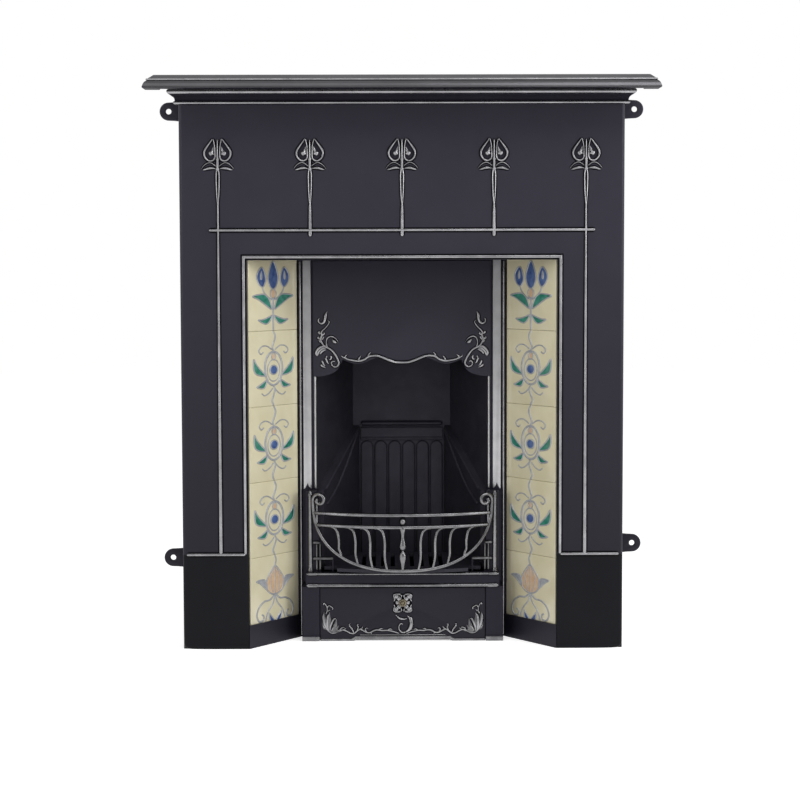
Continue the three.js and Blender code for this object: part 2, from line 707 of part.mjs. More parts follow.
function tileFrame() {
  const plateFront = TILE_THICKNESS + GAP;
  const plateBack = plateFront + CHEEK_PLATE;
  const flangeFront = WALL + GAP;
  const flangeBack = flangeFront + FLANGE;
  const rearFront = chamberFront;
  const rearBack = chamberFront + FLANGE;
  const outerEdge = splayPoint(splayAlongAt(flangeFront, plateFront), plateFront);
  const outerBack = splayPoint(splayAlongAt(flangeBack, plateBack), plateBack);
  const innerBack = splayPoint(splayAlongAt(rearBack, plateBack), plateBack);
  const innerFront = splayPoint(splayAlongAt(rearFront, plateFront), plateFront);
  const flangeX = outerEdge.x + FLANGE_REACH;
  const rearX = insertHalf - 14;
  const web = shapeOf([
    outerEdge,
    [flangeX, flangeFront],
    [flangeX, flangeBack],
    outerBack,
    innerBack,
    [rearX, rearBack],
    [rearX, rearFront],
    innerFront,
  ]);

  const lipZ = TILE_SEAT_Z + PLINTH_LIP_HEIGHT;
  const plinthStart = (openingHalf - GAP - tileOuter.x - -PLINTH_PROUD * splayBehind.x) / splayAlong.x;
  const seat = shapeOf([
    splayPoint(plinthStart, -PLINTH_PROUD),
    splayPoint(TILE, -PLINTH_PROUD),
    splayPoint(TILE, plateFront + 1),
    splayPoint(splayAlongAt(flangeFront, plateFront + 1), plateFront + 1),
    [openingHalf - GAP, flangeFront],
  ]);
  const lip = shapeOf([
    splayPoint(plinthStart, -PLINTH_PROUD),
    splayPoint(TILE, -PLINTH_PROUD),
    splayPoint(TILE, -GAP),
    splayPoint(splayAlongAt(flangeFront, -GAP), -GAP),
    [openingHalf - GAP, flangeFront],
  ]);
  const bodyFront = block(0, bodyHalf, 0, firebackBack, -1, lipZ + 1);
  const plinth = common(join(planPlate(seat, 0, TILE_SEAT_Z), planPlate(lip, 0, lipZ)), bodyFront);
  return cut(
    join(planPlate(web, 0, tilesTopZ + 2), plinth),
    frameScrews.map((seat) => screwHole(seat, FLANGE, 'back')),
    insertScrews.map((seat) => screwHole(seat, FLANGE, 'back')),
  );
}

function tile(index) {
  const z0 = TILE_SEAT_Z + GAP + index * (TILE + TILE_JOINT);
  const plan = shapeOf([
    splayPoint(0, 0),
    splayPoint(TILE, 0),
    splayPoint(TILE, TILE_THICKNESS),
    splayPoint(0, TILE_THICKNESS),
  ]);
  return planPlate(plan, z0, z0 + TILE);
}

function soffitPlate() {
  const frontY = WALL + GAP;
  const rearY = insertFace - GAP;
  const rearEdge = splayPoint(splayAlongAt(rearY, -0.5), -0.5);
  const frontEdge = splayPoint(splayAlongAt(frontY, -0.5), -0.5);
  const plan = shapeOf([
    frontEdge,
    rearEdge,
    [-rearEdge.x, rearEdge.y],
    [-frontEdge.x, frontEdge.y],
  ]);
  const flange = block(
    -SOFFIT_FLANGE_WIDTH / 2,
    SOFFIT_FLANGE_WIDTH / 2,
    frontY,
    frontY + FLANGE,
    openingTopZ,
    openingTopZ + SOFFIT_FLANGE_HEIGHT,
  );
  return cut(
    join(planPlate(plan, openingTopZ, openingTopZ + SOFFIT_PLATE), flange),
    soffitScrews.map((seat) => screwHole(seat, FLANGE, 'back')),
  );
}

// ---------------------------------------------------------------- insert

// Small stepped openwork that closes the corner between pilaster and basket.
function cornerFret() {
  const y0 = pilasterFace - 3.7;
  const y1 = pilasterFace + 0.5;
  const inner = pilasterInner - FRET_REACH;
  const outer = pilasterInner + PILASTER_WIDTH / 2;
  const footZ = RAIL_TOP_Z - 1;
  const stepZ = RAIL_TOP_Z + FRET_STEP;
  const upperZ = stepZ + FRET_RISE;
  const level = (from, z) => block(from, outer, y0, y1, z - FRET_BAR / 2, z + FRET_BAR / 2);
  const upright = (from, toZ) => block(from, from + 0.8 * FRET_BAR, y0, y1, footZ, toZ);
  return [
    level(inner, stepZ),
    level(pilasterInner - FRET_BAR, upperZ),
    upright(pilasterInner - 1.2 * FRET_BAR, upperZ),
    upright(pilasterInner + 0.8 * FRET_BAR, upperZ),
    upright(inner, stepZ),
  ];
}

function insertFront() {
  const jamb = block(jambInner, insertHalf, insertFace, insertBack, 0, insertTopZ);
  const headerFoot = insertTopZ - HEADER_HEIGHT;
  const header = block(-insertHalf, insertHalf, insertFace, insertBack, headerFoot, insertTopZ);
  const trimTop = openingTopZ - GAP;
  const trimFoot = PILASTER_TOP_Z - 1;
  const edgeBeadX = insertHalf - EDGE_BEAD_INSET - EDGE_BEAD_WIDTH / 2;
  const edgeBead = uprightBead(edgeBeadX, 0, trimTop, insertFace, EDGE_BEAD_WIDTH, STRIP_PROUD);
  const strip = block(stripInner, stripOuter, insertFace - STRIP_PROUD, insertFace + 1, trimFoot, trimTop);
  const innerBead = uprightBead(
    jambInner + INNER_BEAD_WIDTH / 2,
    trimFoot,
    HOOD_CORNER_Z - 2,
    insertFace,
    INNER_BEAD_WIDTH,
    INNER_BEAD_PROUD,
  );
  const pilaster = cut(
    block(pilasterInner, pilasterOuter, pilasterFace, insertFace + 1, RAIL_TOP_Z - 1, PILASTER_TOP_Z),
    // step that the basket's pegs drop onto
    block(
      pilasterInner - 1,
      UPRIGHT_X + PEG_RADIUS + 0.5,
      pilasterFace - 1,
      basketEndY + PEG_LENGTH + 3,
      PEG_Z - PEG_RADIUS - GAP,
      PILASTER_TOP_Z + 1,
    ),
  );
  const columnX = stripInner + COLUMN_INSET;
  const column = rod(
    [columnX, pilasterFace, RAIL_TOP_Z - 1],
    [columnX, pilasterFace, PILASTER_TOP_Z - COLUMN_DROP],
    COLUMN_RADIUS,
    10,
  );
  const post = block(postInner, postOuter, postFace, insertFace + 1, 0, railBottomZ + 1);
  const shoulder = block(postInner, pilasterOuter, postFace, insertFace + 1, railBottomZ, RAIL_TOP_Z);
  const pocketTop = RAIL_TOP_Z - WALL;
  const pocket = block(postInner + WALL, pilasterOuter - 1, postFace + WALL, insertBack + 1, -1, pocketTop);
  const footTop = FOOT_BAND_Z + FOOT_BAND_HEIGHT;
  const footFace = postFace - FOOT_BAND_PROUD;
  const foot = block(postInner, postOuter + 1, footFace, postFace + 1, FOOT_BAND_Z, footTop);
  const coverStop = block(
    coverHalf - COVER_STOP,
    postInner + 1,
    coverBack + GAP,
    coverBack + GAP + COVER_STOP,
    FOOT_BAND_Z,
    coverTopZ,
  );
  const trims = join(edgeBead, strip, innerBead, ...cornerFret());
  const halves = join(jamb, trims, pilaster, column, post, shoulder, foot, coverStop);
  const railEnd = pilasterOuter - 0.5;
  const railHalf = postInner + 1;
  const railBack = postFace + RAIL_THICKNESS;
  const ribTop = RAIL_TOP_Z + GRATE_LIFT;
  const rail = block(-railHalf, railHalf, postFace, railBack, railBottomZ, RAIL_TOP_Z);
  const seatRib = block(-grateNeckHalf, grateNeckHalf, postFace + 4, railBack, RAIL_TOP_Z - 1, ribTop);
  const upperZ = RAIL_TOP_Z - UPPER_RAIL_BEAD / 2;
  const lowerZ = railBottomZ + LOWER_RAIL_BEAD / 2;
  const upperBead = levelBead(upperZ, -railEnd, railEnd, postFace, UPPER_RAIL_BEAD, RAIL_BEAD_PROUD);
  const lowerBead = levelBead(lowerZ, -railEnd, railEnd, postFace, LOWER_RAIL_BEAD, RAIL_BEAD_PROUD + 0.5);
  const whole = join(bothSides(cut(halves, pocket)), header, rail, seatRib, upperBead, lowerBead);
  return cut(
    whole,
    bothSides(join(insertScrews.map((seat) => screwHole(seat, FLANGE, 'back')))),
    bothSides(join(cheekScrews.map((seat) => screwHole(seat, FLANGE, 'back')))),
    hoodScrews.map((seat) => screwHole(seat, WALL, 'back')),
  );
}

// ---------------------------------------------------------------- hood

function hoodWave(x) {
  return HOOD_WAVE_Z - HOOD_WAVE_HEIGHT * Math.cos((2 * Math.PI * x) / HOOD_WAVE_LENGTH);
}

function hood() {
  const lobe = HOOD_LOBE_WIDTH;
  const waveHalf = hoodHalf - lobe;
  const edge = [
    [hoodHalf, hoodTopZ],
    [hoodHalf, HOOD_CORNER_Z],
    [hoodHalf - 0.26 * lobe, HOOD_CORNER_Z],
    [hoodHalf - 0.64 * lobe, HOOD_CORNER_Z + 0.35 * HOOD_LOBE_RISE],
    [hoodHalf - 0.9 * lobe, HOOD_CORNER_Z + HOOD_LOBE_RISE],
  ];
  const steps = 24;
  const crest = [];
  for (let i = 0; i <= steps; i += 1) {
    const x = waveHalf * (1 - (2 * i) / steps);
    crest.push([x, hoodWave(x)]);
  }
  const wave = crest.map(([x, z]) => [x, z - HOOD_BEAD_RADIUS - HOOD_BEAD_MARGIN]);
  const mirroredEdge = edge.map(([x, z]) => [-x, z]).reverse();
  const plate = frontPlate(shapeOf([...edge, ...wave, ...mirroredEdge]), hoodFace, hoodBack);

  const faceAt = ([x, z]) => new THREE.Vector3(x, hoodFace, z);
  const onFace = (points) => new THREE.CatmullRomCurve3(points.map(faceAt));
  const inCorner = (points) =>
    onFace(points.map(([inwards, up]) => [hoodHalf - inwards, HOOD_CORNER_Z + up]));
  const [budIn, budUp] = HOOD_TENDRIL[0];
  const scrolls = join(
    bentBar(inCorner(HOOD_STALK), HOOD_SCROLL_RADIUS, 18),
    bentBar(inCorner(HOOD_TENDRIL), HOOD_SCROLL_RADIUS, 16),
    ball(hoodHalf - budIn, hoodFace, HOOD_CORNER_Z + budUp, HOOD_BUD_RADIUS),
  );
  return cut(
    join(plate, bentBar(onFace(crest), HOOD_BEAD_RADIUS, 32), bothSides(scrolls)),
    hoodScrews.map((seat) => screwHole(seat, WALL, 'back')),
  );
}

// ---------------------------------------------------------------- basket

function bowY(x) {
  return basketEndY - BASKET_BOW + bowRadius - Math.sqrt(bowRadius ** 2 - x ** 2);
}

// A bar whose front view is given; it follows the bow of the basket.
function basketBar(points, radius, steps, sides = 6) {
  const path = points.map(([x, z]) => new THREE.Vector3(x, bowY(x), z));
  return bentBar(new THREE.CatmullRomCurve3(path), radius, steps, sides);
}

function boatRim() {
  const scrollX = basketHalf - SCROLL_RADIUS;
  const side = [];
  for (let angle = -130; angle < 180; angle += 31) {
    const a = THREE.MathUtils.degToRad(angle);
    side.push([-scrollX + SCROLL_RADIUS * Math.cos(a), SCROLL_Z + SCROLL_RADIUS * Math.sin(a)]);
  }
  const drop = SCROLL_Z - BASKET_FOOT_Z;
  const steps = 14;
  for (let i = 0; i < steps; i += 1) {
    const a = (Math.PI * i) / (2 * steps);
    const x = -basketHalf * Math.cos(a) ** (2 / BOAT_ROUNDNESS);
    side.push([x, SCROLL_Z - drop * Math.sin(a) ** (2 / BOAT_ROUNDNESS)]);
  }
  const otherSide = side.map(([x, z]) => [-x, z]).reverse();
  return [...side, [0, BASKET_FOOT_Z], ...otherSide];
}

// Height of the boat-shaped rim at this distance from the middle.
function rimZ(x) {
  const share = 1 - (Math.abs(x) / basketHalf) ** BOAT_ROUNDNESS;
  return SCROLL_Z - (SCROLL_Z - BASKET_FOOT_Z) * share ** (1 / BOAT_ROUNDNESS);
}

// Where the rim stands at this height.
function rimX(z) {
  const share = 1 - ((SCROLL_Z - z) / (SCROLL_Z - BASKET_FOOT_Z)) ** BOAT_ROUNDNESS;
  return basketHalf * share ** (1 / BOAT_ROUNDNESS);
}

function twig(x) {
  const top = SECOND_BAR_Z;
  const foot = rimZ(x - 5);
  return basketBar(
    [
      [x + 21, top - 4],
      [x + 12, top - 4.5],
      [x + 3, top - 13],
      [x, top - 30],
      [x, (top - 30 + foot) / 2],
      [x - 2, foot + 10],
      [x - 5, foot],
    ],
    TWIG_RADIUS,
    10,
  );
}

function levelBar(z) {
  const half = rimX(z);
  const points = [];
  for (let i = -6; i <= 6; i += 1) points.push([(half * i) / 6, z]);
  return basketBar(points, BAR_RADIUS, 14);
}

function basketFront() {
  const baluster = turned(
    [[0, 0], [2.5, 0], [4.5, 14], [7, 30], [1.8, 36], [6.5, 43], [3, 66], [5.6, 81], [3, 86], [0, 86]],
    0,
    bowY(0),
    BASKET_FOOT_Z,
  );
  const boss = ball(0, bowY(0) - 1, (TOP_BAR_Z + SECOND_BAR_Z) / 2, 7.5, 12);
  const bossStem = rod([0, bowY(0), SECOND_BAR_Z], [0, bowY(0), TOP_BAR_Z], 2.5);
  const uprightY = bowY(UPRIGHT_X) + 2;
  const upright = join(
    rod([UPRIGHT_X, uprightY, rimZ(UPRIGHT_X)], [UPRIGHT_X, uprightY, SCROLL_Z], TWIG_RADIUS),
    ball(UPRIGHT_X, uprightY, SCROLL_Z + 1.5, 4),
    rod([UPRIGHT_X, uprightY, PEG_Z], [UPRIGHT_X, basketEndY + PEG_LENGTH, PEG_Z], PEG_RADIUS),
  );
  return join(
    basketBar(boatRim(), BAR_RADIUS, 64),
    levelBar(TOP_BAR_Z),
    levelBar(SECOND_BAR_Z),
    TWIG_OFFSETS.flatMap((x) => bothSides(twig(x))),
    baluster,
    boss,
    bossStem,
    bothSides(upright),
  );
}

// ---------------------------------------------------------------- grate

// Half-width of the clear floor between the lined cheeks at this y.
function floorHalf(y) {
  const run = (y - chamberFront) / CHAMBER_DEPTH;
  const slope = Math.hypot(CHAMBER_DEPTH, jambInner - 1 - firebackHalf) / CHAMBER_DEPTH;
  return jambInner - 1 - run * (jambInner - 1 - firebackHalf) - LINING * slope - 2;
}

function bottomGrate() {
  const bow = [];
  for (let i = 6; i >= -6; i -= 1) {
    const x = (grateNeckHalf * i) / 6;
    bow.push([x, bowY(x) + BAR_RADIUS + GRATE_FRONT_CLEARANCE]);
  }
  const shoulderY = pilasterFace + 3;
  const backY = firebackFace - FLUTE_PROUD - 2;
  const wing = floorHalf(chamberFront);
  const plan = shapeOf([
    ...bow,
    [-grateNeckHalf, shoulderY],
    [-wing, shoulderY],
    [-wing, chamberFront],
    [-floorHalf(backY), backY],
    [floorHalf(backY), backY],
    [wing, chamberFront],
    [wing, shoulderY],
    [grateNeckHalf, shoulderY],
  ]);
  const slotStart = postFace + RAIL_THICKNESS + GRATE_RIM;
  const slotEnd = backY - LEDGE_DEPTH - GRATE_RIM;
  const grateTopZ = grateZ + GRATE_THICKNESS;
  const slots = [];
  const pitch = GRATE_SLOT + GRATE_BAR;
  for (let x = -4 * pitch; x <= 4 * pitch; x += pitch) {
    const left = x - GRATE_SLOT / 2;
    slots.push(block(left, left + GRATE_SLOT, slotStart, slotEnd, grateZ - 1, grateTopZ + 1));
  }
  return cut(planPlate(plan, grateZ, grateTopZ), slots);
}

// ---------------------------------------------------------------- ash pit

function leafPlate(points, proud) {
  return frontPlate(shapeOf(points), coverFace - proud, coverFace + 1);
}

function ashPanCover() {
  const step = COVER_ARCH_WIDTH / 2;
  const slope = step + 6;
  const outline = shapeOf([
    [-coverHalf, 0], [-slope, 0], [-step, COVER_ARCH], [step, COVER_ARCH], [slope, 0], [coverHalf, 0],
    [coverHalf, coverTopZ], [-coverHalf, coverTopZ],
  ]);
  const plate = frontPlate(outline, coverFace, coverBack);
  const vinePoints = [];
  const reach = coverHalf - VINE_INSET;
  for (let i = 0; i <= 36; i += 1) {
    const x = -reach + (2 * reach * i) / 36;
    const turn = (2 * Math.PI * (Math.abs(x) - reach)) / VINE_WAVE;
    vinePoints.push(new THREE.Vector3(x, coverFace, VINE_Z + VINE_SWING * Math.cos(turn)));
  }
  const vine = bentBar(new THREE.CatmullRomCurve3(vinePoints), VINE_RADIUS, 44);
  const leafX = coverHalf - 4;
  const cornerLeaf = leafPlate(COVER_CORNER_LEAF.map(([inwards, z]) => [leafX - inwards, z]), COVER_RELIEF);
  const rosette = leafPlate(COVER_ROSETTE.map(([x, up]) => [x, KNOB_Z + up]), COVER_RELIEF);
  const pendant = leafPlate(COVER_PENDANT.map(([x, up]) => [x, KNOB_Z + up]), COVER_RELIEF - 0.5);
  const edge = (x0, x1, z0, z1) => block(x0, x1, coverFace - COVER_RIM, coverFace + 1, z0, z1);
  const rim = [
    ...bothSides(edge(slope + 2, coverHalf - 1, 1, 5)),
    edge(-step, step, COVER_ARCH + 1, COVER_ARCH + 8),
  ];
  return cut(
    join(plate, vine, bothSides(cornerLeaf), rosette, pendant, rim),
    bore([0, coverFace - 10, KNOB_Z], [0, coverBack + 1, KNOB_Z], SCREW_RADIUS),
    bore([0, coverFace - 10, KNOB_Z], [0, coverFace, KNOB_Z], KNOB_RADIUS, 12),
  );
}

function coverKnob() {
  const profile = [
    [0, -COVER_THICKNESS - 6],
    [SCREW_RADIUS, -COVER_THICKNESS - 6],
    [SCREW_RADIUS, GAP],
    [KNOB_RADIUS - 2, GAP],
    [KNOB_RADIUS, 4],
    [KNOB_RADIUS - 1, 7],
    [KNOB_RADIUS - 4, 9],
    [0, 9.5],
  ];
  const lathe = new THREE.LatheGeometry(profile.map(([r, h]) => new THREE.Vector2(r, h)), 12);
  return lathe.rotateX(Math.PI).translate(0, coverFace, KNOB_Z);
}

function knobNut() {
  const y = coverBack + GAP;
  return cut(
    rod([0, y, KNOB_Z], [0, y + 4, KNOB_Z], 6, 6),
    bore([0, y - 1, KNOB_Z], [0, y + 5, KNOB_Z], SCREW_RADIUS),
  );
}

function ashPan() {
  const half = PAN_WIDTH / 2;
  const inner = half - PAN_SHEET;
  const panBack = panFront + PAN_DEPTH;
  return cut(
    block(-half, half, panFront, panBack, 0, PAN_HEIGHT),
    block(-inner, inner, panFront + PAN_SHEET, panBack - PAN_SHEET, PAN_SHEET, PAN_HEIGHT + 1),
  );
}

function ashPanHandle() {
  const back = panFront - GAP;
  const grip = back - PAN_HANDLE_REACH;
  const half = PAN_HANDLE_WIDTH / 2;
  const strap = 4; // half height of the bent strip
  const pad = 6; // half size of the riveted ends
  const sheet = 2;
  const end = join(
    block(half - pad, half + pad, back - sheet, back, PAN_HANDLE_Z - pad, PAN_HANDLE_Z + pad),
    block(half - sheet, half, grip, back, PAN_HANDLE_Z - strap, PAN_HANDLE_Z + strap),
  );
  const bar = block(-half, half, grip, grip + sheet, PAN_HANDLE_Z - strap, PAN_HANDLE_Z + strap);
  return join(bar, bothSides(end));
}

// ---------------------------------------------------------------- fire chamber

// x of the cheek's inner face this far behind the insert, moved outwards by the offset.
function cheekLineX(run, offset = 0) {
  const x0 = jambInner - 1;
  const slope = (x0 - firebackHalf) / CHAMBER_DEPTH;
  return x0 - run * slope + offset * Math.hypot(1, slope);
}

function fireCheek() {
  const y0 = chamberFront;
  const y1 = firebackFace - GAP;
  const run = y1 - y0;
  const plan = (offsetIn, offsetOut) => shapeOf([
    [cheekLineX(0, offsetIn), y0],
    [cheekLineX(0, offsetOut), y0],
    [cheekLineX(run, offsetOut), y1],
    [cheekLineX(run, offsetIn), y1],
  ]);
  const wall = planPlate(plan(0, FIRE_CHEEK), 0, CHAMBER_TOP_Z);
  const linedZone = sidePlate(
    shapeOf([[y0 - 1, -1], [y1 + 1, -1], [y1 + 1, LINING_BACK_Z], [y0 - 1, LINING_FRONT_Z]]),
    0,
    bodyHalf,
  );
  const liningFoot = grateZ - GRATE_LIFT;
  const lining = common(planPlate(plan(-LINING, 1), liningFoot, LINING_BACK_Z + 1), linedZone);
  const flange = block(cheekLineX(0, 1), insertHalf - 14.5, y0, y0 + FLANGE, 0, CHAMBER_TOP_Z);
  return cut(
    join(wall, lining, flange),
    cheekScrews.map((seat) => screwHole(seat, FLANGE, 'back')),
    firebackScrews.map((seat) => screwHole(seat, FIREBACK_PLATE, 'back')),
    throatScrews.map((seat) => screwHole(seat, THROAT_PLATE, 'down')),
  );
}

function fireback() {
  const half = firebackHalf + FIREBACK_MARGIN;
  const panel = firebackHalf - LINING - PANEL_MARGIN;
  const plate = block(-half, half, firebackFace, firebackBack, 0, CHAMBER_TOP_Z);
  const raised = (x0, x1, z0, z1, proud) => block(x0, x1, firebackFace - proud, firebackFace + 1, z0, z1);
  const flutes = [];
  for (let i = 0; i < FLUTE_COUNT; i += 1) {
    const x = (i - (FLUTE_COUNT - 1) / 2) * FLUTE_PITCH;
    const from = Math.max(x - FLUTE_WIDTH / 2, -panel);
    const to = Math.min(x + FLUTE_WIDTH / 2, panel);
    flutes.push(raised(from, to, grateZ, FLUTE_TOP_Z, FLUTE_PROUD));
  }
  const fasciaZ = FLUTE_TOP_Z + BAND_GAP;
  const mouldingZ = fasciaZ + FASCIA_HEIGHT + BAND_GAP;
  const ledgeZ = grateZ - GAP;
  return cut(
    join(
      plate,
      flutes,
      raised(-panel, panel, fasciaZ, fasciaZ + FASCIA_HEIGHT, FLUTE_PROUD + 1),
      raised(-panel, panel, mouldingZ, mouldingZ + MOULDING_HEIGHT, FLUTE_PROUD + BAND_GAP),
      raised(-panel, panel, ledgeZ - LEDGE_HEIGHT, ledgeZ, LEDGE_DEPTH),
    ),
    bothSides(join(firebackScrews.map((seat) => screwHole(seat, FIREBACK_PLATE, 'back')))),
  );
}

function throatPlate() {
  const y0 = chamberFront;
  const y1 = firebackBack;
  const edge = FIRE_CHEEK + 4;
  const plan = shapeOf([
    [cheekLineX(0, edge), y0],
    [cheekLineX(firebackFace - y0, edge), firebackFace],
    [cheekLineX(firebackFace - y0, edge), y1],
    [-cheekLineX(firebackFace - y0, edge), y1],
    [-cheekLineX(firebackFace - y0, edge), firebackFace],
    [-cheekLineX(0, edge), y0],
  ]);
  const slot = block(-slotHalf, slotHalf, slotFront, slotBack, throatZ - 1, throatTopZ + 1);
  const earX = pivotHalf - PIVOT_EAR - 2;
  const ear = cut(
    block(earX, earX + PIVOT_EAR, pivotY - 7, pivotY + 7, throatTopZ - 1, pivotZ + 7),
    bore([earX - 1, pivotY, pivotZ], [earX + PIVOT_EAR + 1, pivotY, pivotZ], PIVOT_RADIUS, 12),
  );
  return cut(
    join(cut(planPlate(plan, throatZ, throatTopZ), slot), bothSides(ear)),
    bothSides(join(throatScrews.map((seat) => screwHole(seat, THROAT_PLATE, 'down')))),
  );
}

function damperFlap() {
  const half = slotHalf + FLAP_OVERLAP - 1;
  const plate = block(-half, half, slotFront - FLAP_OVERLAP, pivotY, flapZ, flapTopZ);
  const barrel = rod([-pivotHalf, pivotY, pivotZ], [pivotHalf, pivotY, pivotZ], PIVOT_RADIUS, 10);
  const hole = bore([0, leverY, flapZ - 1], [0, leverY, flapTopZ + 1], LEVER_RADIUS);
  return cut(join(plate, barrel), hole);
}

function damperLever() {
  const knob = 7;
  const shoulder = knob;
  const under = flapZ - GAP;
  const over = flapTopZ + GAP;
  return turned(
    [
      [0, under - LEVER_DROP],
      [knob - 3, under - LEVER_DROP],
      [knob, under - LEVER_DROP + 5],
      [LEVER_RADIUS, under - LEVER_DROP + 11],
      [LEVER_RADIUS, under - 4],
      [shoulder, under - 3],
      [shoulder, under],
      [LEVER_RADIUS, under],
      [LEVER_RADIUS, over],
      [shoulder, over],
      [shoulder - 2, over + 3],
      [0, over + 3],
    ],
    0,
    leverY,
    0,
  );
}

// ---------------------------------------------------------------- assembly

add('surround_front', surroundFront(), blackIron);
add('mantel_shelf', mantelShelf(), brightIron);
headed('shelf_screw', shelfScrews, WALL, 'up');

const frame = tileFrame();
add('left_tile_frame', mirrored(frame), blackIron);
add('right_tile_frame', frame, blackIron);
for (let i = 0; i < TILES_PER_SIDE; i += 1) {
  const piece = tile(TILES_PER_SIDE - 1 - i);
  add(`left_tile_${i + 1}`, mirrored(piece), glaze);
  add(`right_tile_${i + 1}`, piece, glaze);
}
add('soffit_plate', soffitPlate(), blackIron);
headed('frame_screw', frameScrews, FLANGE, 'back', SIDES);
headed('soffit_screw', soffitScrews, FLANGE, 'back');

add('insert_front', insertFront(), blackIron);
headed('insert_screw', insertScrews, FLANGE, 'back', SIDES);
add('hood', hood(), blackIron);
headed('hood_screw', hoodScrews, WALL, 'back');
add('basket_front', basketFront(), brightIron);
add('bottom_grate', bottomGrate(), sootyIron);

add('ash_pan_cover', ashPanCover(), blackIron);
add('cover_knob', coverKnob(), bronze);
add('knob_nut', knobNut(), steel);
add('ash_pan', ashPan(), steel);
add('ash_pan_handle', ashPanHandle(), steel);

const cheek = fireCheek();
add('left_fire_cheek', mirrored(cheek), sootyIron);
add('right_fire_cheek', cheek, sootyIron);
headed('cheek_screw', cheekScrews, FLANGE, 'back', SIDES);
add('fireback', fireback(), sootyIron);
headed('fireback_screw', firebackScrews, FIREBACK_PLATE, 'back', SIDES);
add('throat_plate', throatPlate(), sootyIron);
headed('throat_screw', throatScrews, THROAT_PLATE, 'down', SIDES);
add('damper_flap', damperFlap(), sootyIron);
add('damper_lever', damperLever(), sootyIron);

export default fireplace;
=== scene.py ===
# Cast iron fireplace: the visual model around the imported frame.
# Drawn in millimetres as (x, depth behind the front plate, height) and placed in metres.
import math

import bmesh
import bpy
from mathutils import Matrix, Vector


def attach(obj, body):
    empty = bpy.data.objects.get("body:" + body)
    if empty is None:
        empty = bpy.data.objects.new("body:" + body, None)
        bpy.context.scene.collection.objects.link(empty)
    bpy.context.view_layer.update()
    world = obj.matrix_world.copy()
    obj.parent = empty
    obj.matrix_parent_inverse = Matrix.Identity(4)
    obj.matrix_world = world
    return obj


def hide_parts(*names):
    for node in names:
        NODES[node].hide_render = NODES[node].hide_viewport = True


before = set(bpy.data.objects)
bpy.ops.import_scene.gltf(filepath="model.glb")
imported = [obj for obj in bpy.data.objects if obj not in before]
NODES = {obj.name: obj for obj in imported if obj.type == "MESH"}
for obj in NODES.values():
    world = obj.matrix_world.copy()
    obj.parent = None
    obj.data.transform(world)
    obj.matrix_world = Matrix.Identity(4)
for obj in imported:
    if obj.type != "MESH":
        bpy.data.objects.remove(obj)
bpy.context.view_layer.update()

# ---- sizes of the frame, mm

FACE_OFFSET = 108.236  # depth of the row's origin behind the front plate
BODY_HALF = 442.0
BODY_TOP = 1131.7
OPENING_HALF = 309.0
OPENING_TOP = 781.5
WALL = 8.0
RETURN_DEPTH = 65.0
SHELF_TOP = 1140.0
SHELF_OUT = 79.0
SHELF_HALF = 480.5
SHELF_RETURN = 30.0  # how far the moulded rim runs back at the ends
FRAME_BEAD_X = 315.5
FRAME_BEAD_Z = 788.0
PLINTH_BEAD_Z = 192.0
CROSS_BEAD_Z = 841.0
STEM_FOOT_Z = 828.0
STEM_PITCH = 182.5
TILE = 152.4
TILE_STEP = 152.7
TILE_FOOT_Z = 28.3
TILE_THICK = 8.0
TILE_EDGE = 1.6
TILE_STEPS = 12  # points along one side of a tile
SPLAY = math.radians(53.1)
TILE_OUTER = (307.0, 10.0)
INSERT_FACE = 135.872
STRIP_X = (187.5, 203.5)
PILASTER_FACE = 97.872
POST_FACE = 78.872
HOOD_FACE = 130.572
HOOD_BACK = 135.572
HOOD_HALF = 183.0
HOOD_TOP = 779.5
HOOD_FOOT = 541.5
COVER_FACE = 80.872
COVER_BACK = 86.872
COVER_HALF = 169.5
COVER_TOP = 110.5
KNOB_Z = 79.0
FIREBACK_FACE = 300.172
FIREBACK_BACK = 312.172
FIREBACK_HALF = 104.0
CHAMBER_TOP = 640.0
BASKET_HALF = 183.5
BASKET_END = 89.872
BASKET_BOW = 48.5
BASKET_FOOT = 151.0
SCROLL_Z = 291.5
SCROLL_R = 13.0
BOAT_ROUND = 2.45
TOP_BAR_Z = 264.5
SECOND_BAR_Z = 240.0


def at(x, d, z):
    return Vector((x, d - FACE_OFFSET, z)) * 0.001


# ---- paths


def smooth(points, step=1.6, closed=False):
    """Catmull-Rom curve through the points, sampled about every step."""
    pts = [Vector(p) for p in points]
    n = len(pts)
    out = []
    spans = n if closed else n - 1
    for i in range(spans):
        if closed:
            p0, p1, p2, p3 = pts[i - 1], pts[i], pts[(i + 1) % n], pts[(i + 2) % n]
        else:
            p1, p2 = pts[i], pts[i + 1]
            p0 = pts[i - 1] if i else p1 * 2 - p2
            p3 = pts[i + 2] if i + 2 < n else p2 * 2 - p1
        count = max(2, int((p2 - p1).length / step) + 1)
        for k in range(count):
            t = k / count
            out.append(
                0.5
                * (
                    2 * p1
                    + (p2 - p0) * t
                    + (2 * p0 - 5 * p1 + 4 * p2 - p3) * t * t
                    + (3 * p1 - p0 - 3 * p2 + p3) * t**3
                )
            )
    if not closed:
        out.append(pts[-1])
    return out


def shares(points):
    """Share of the whole length at each point."""
    run = [0.0]
    for a, b in zip(points, points[1:]):
        run.append(run[-1] + (Vector(b) - Vector(a)).length)
    total = run[-1] or 1.0
    return [r / total for r in run], total


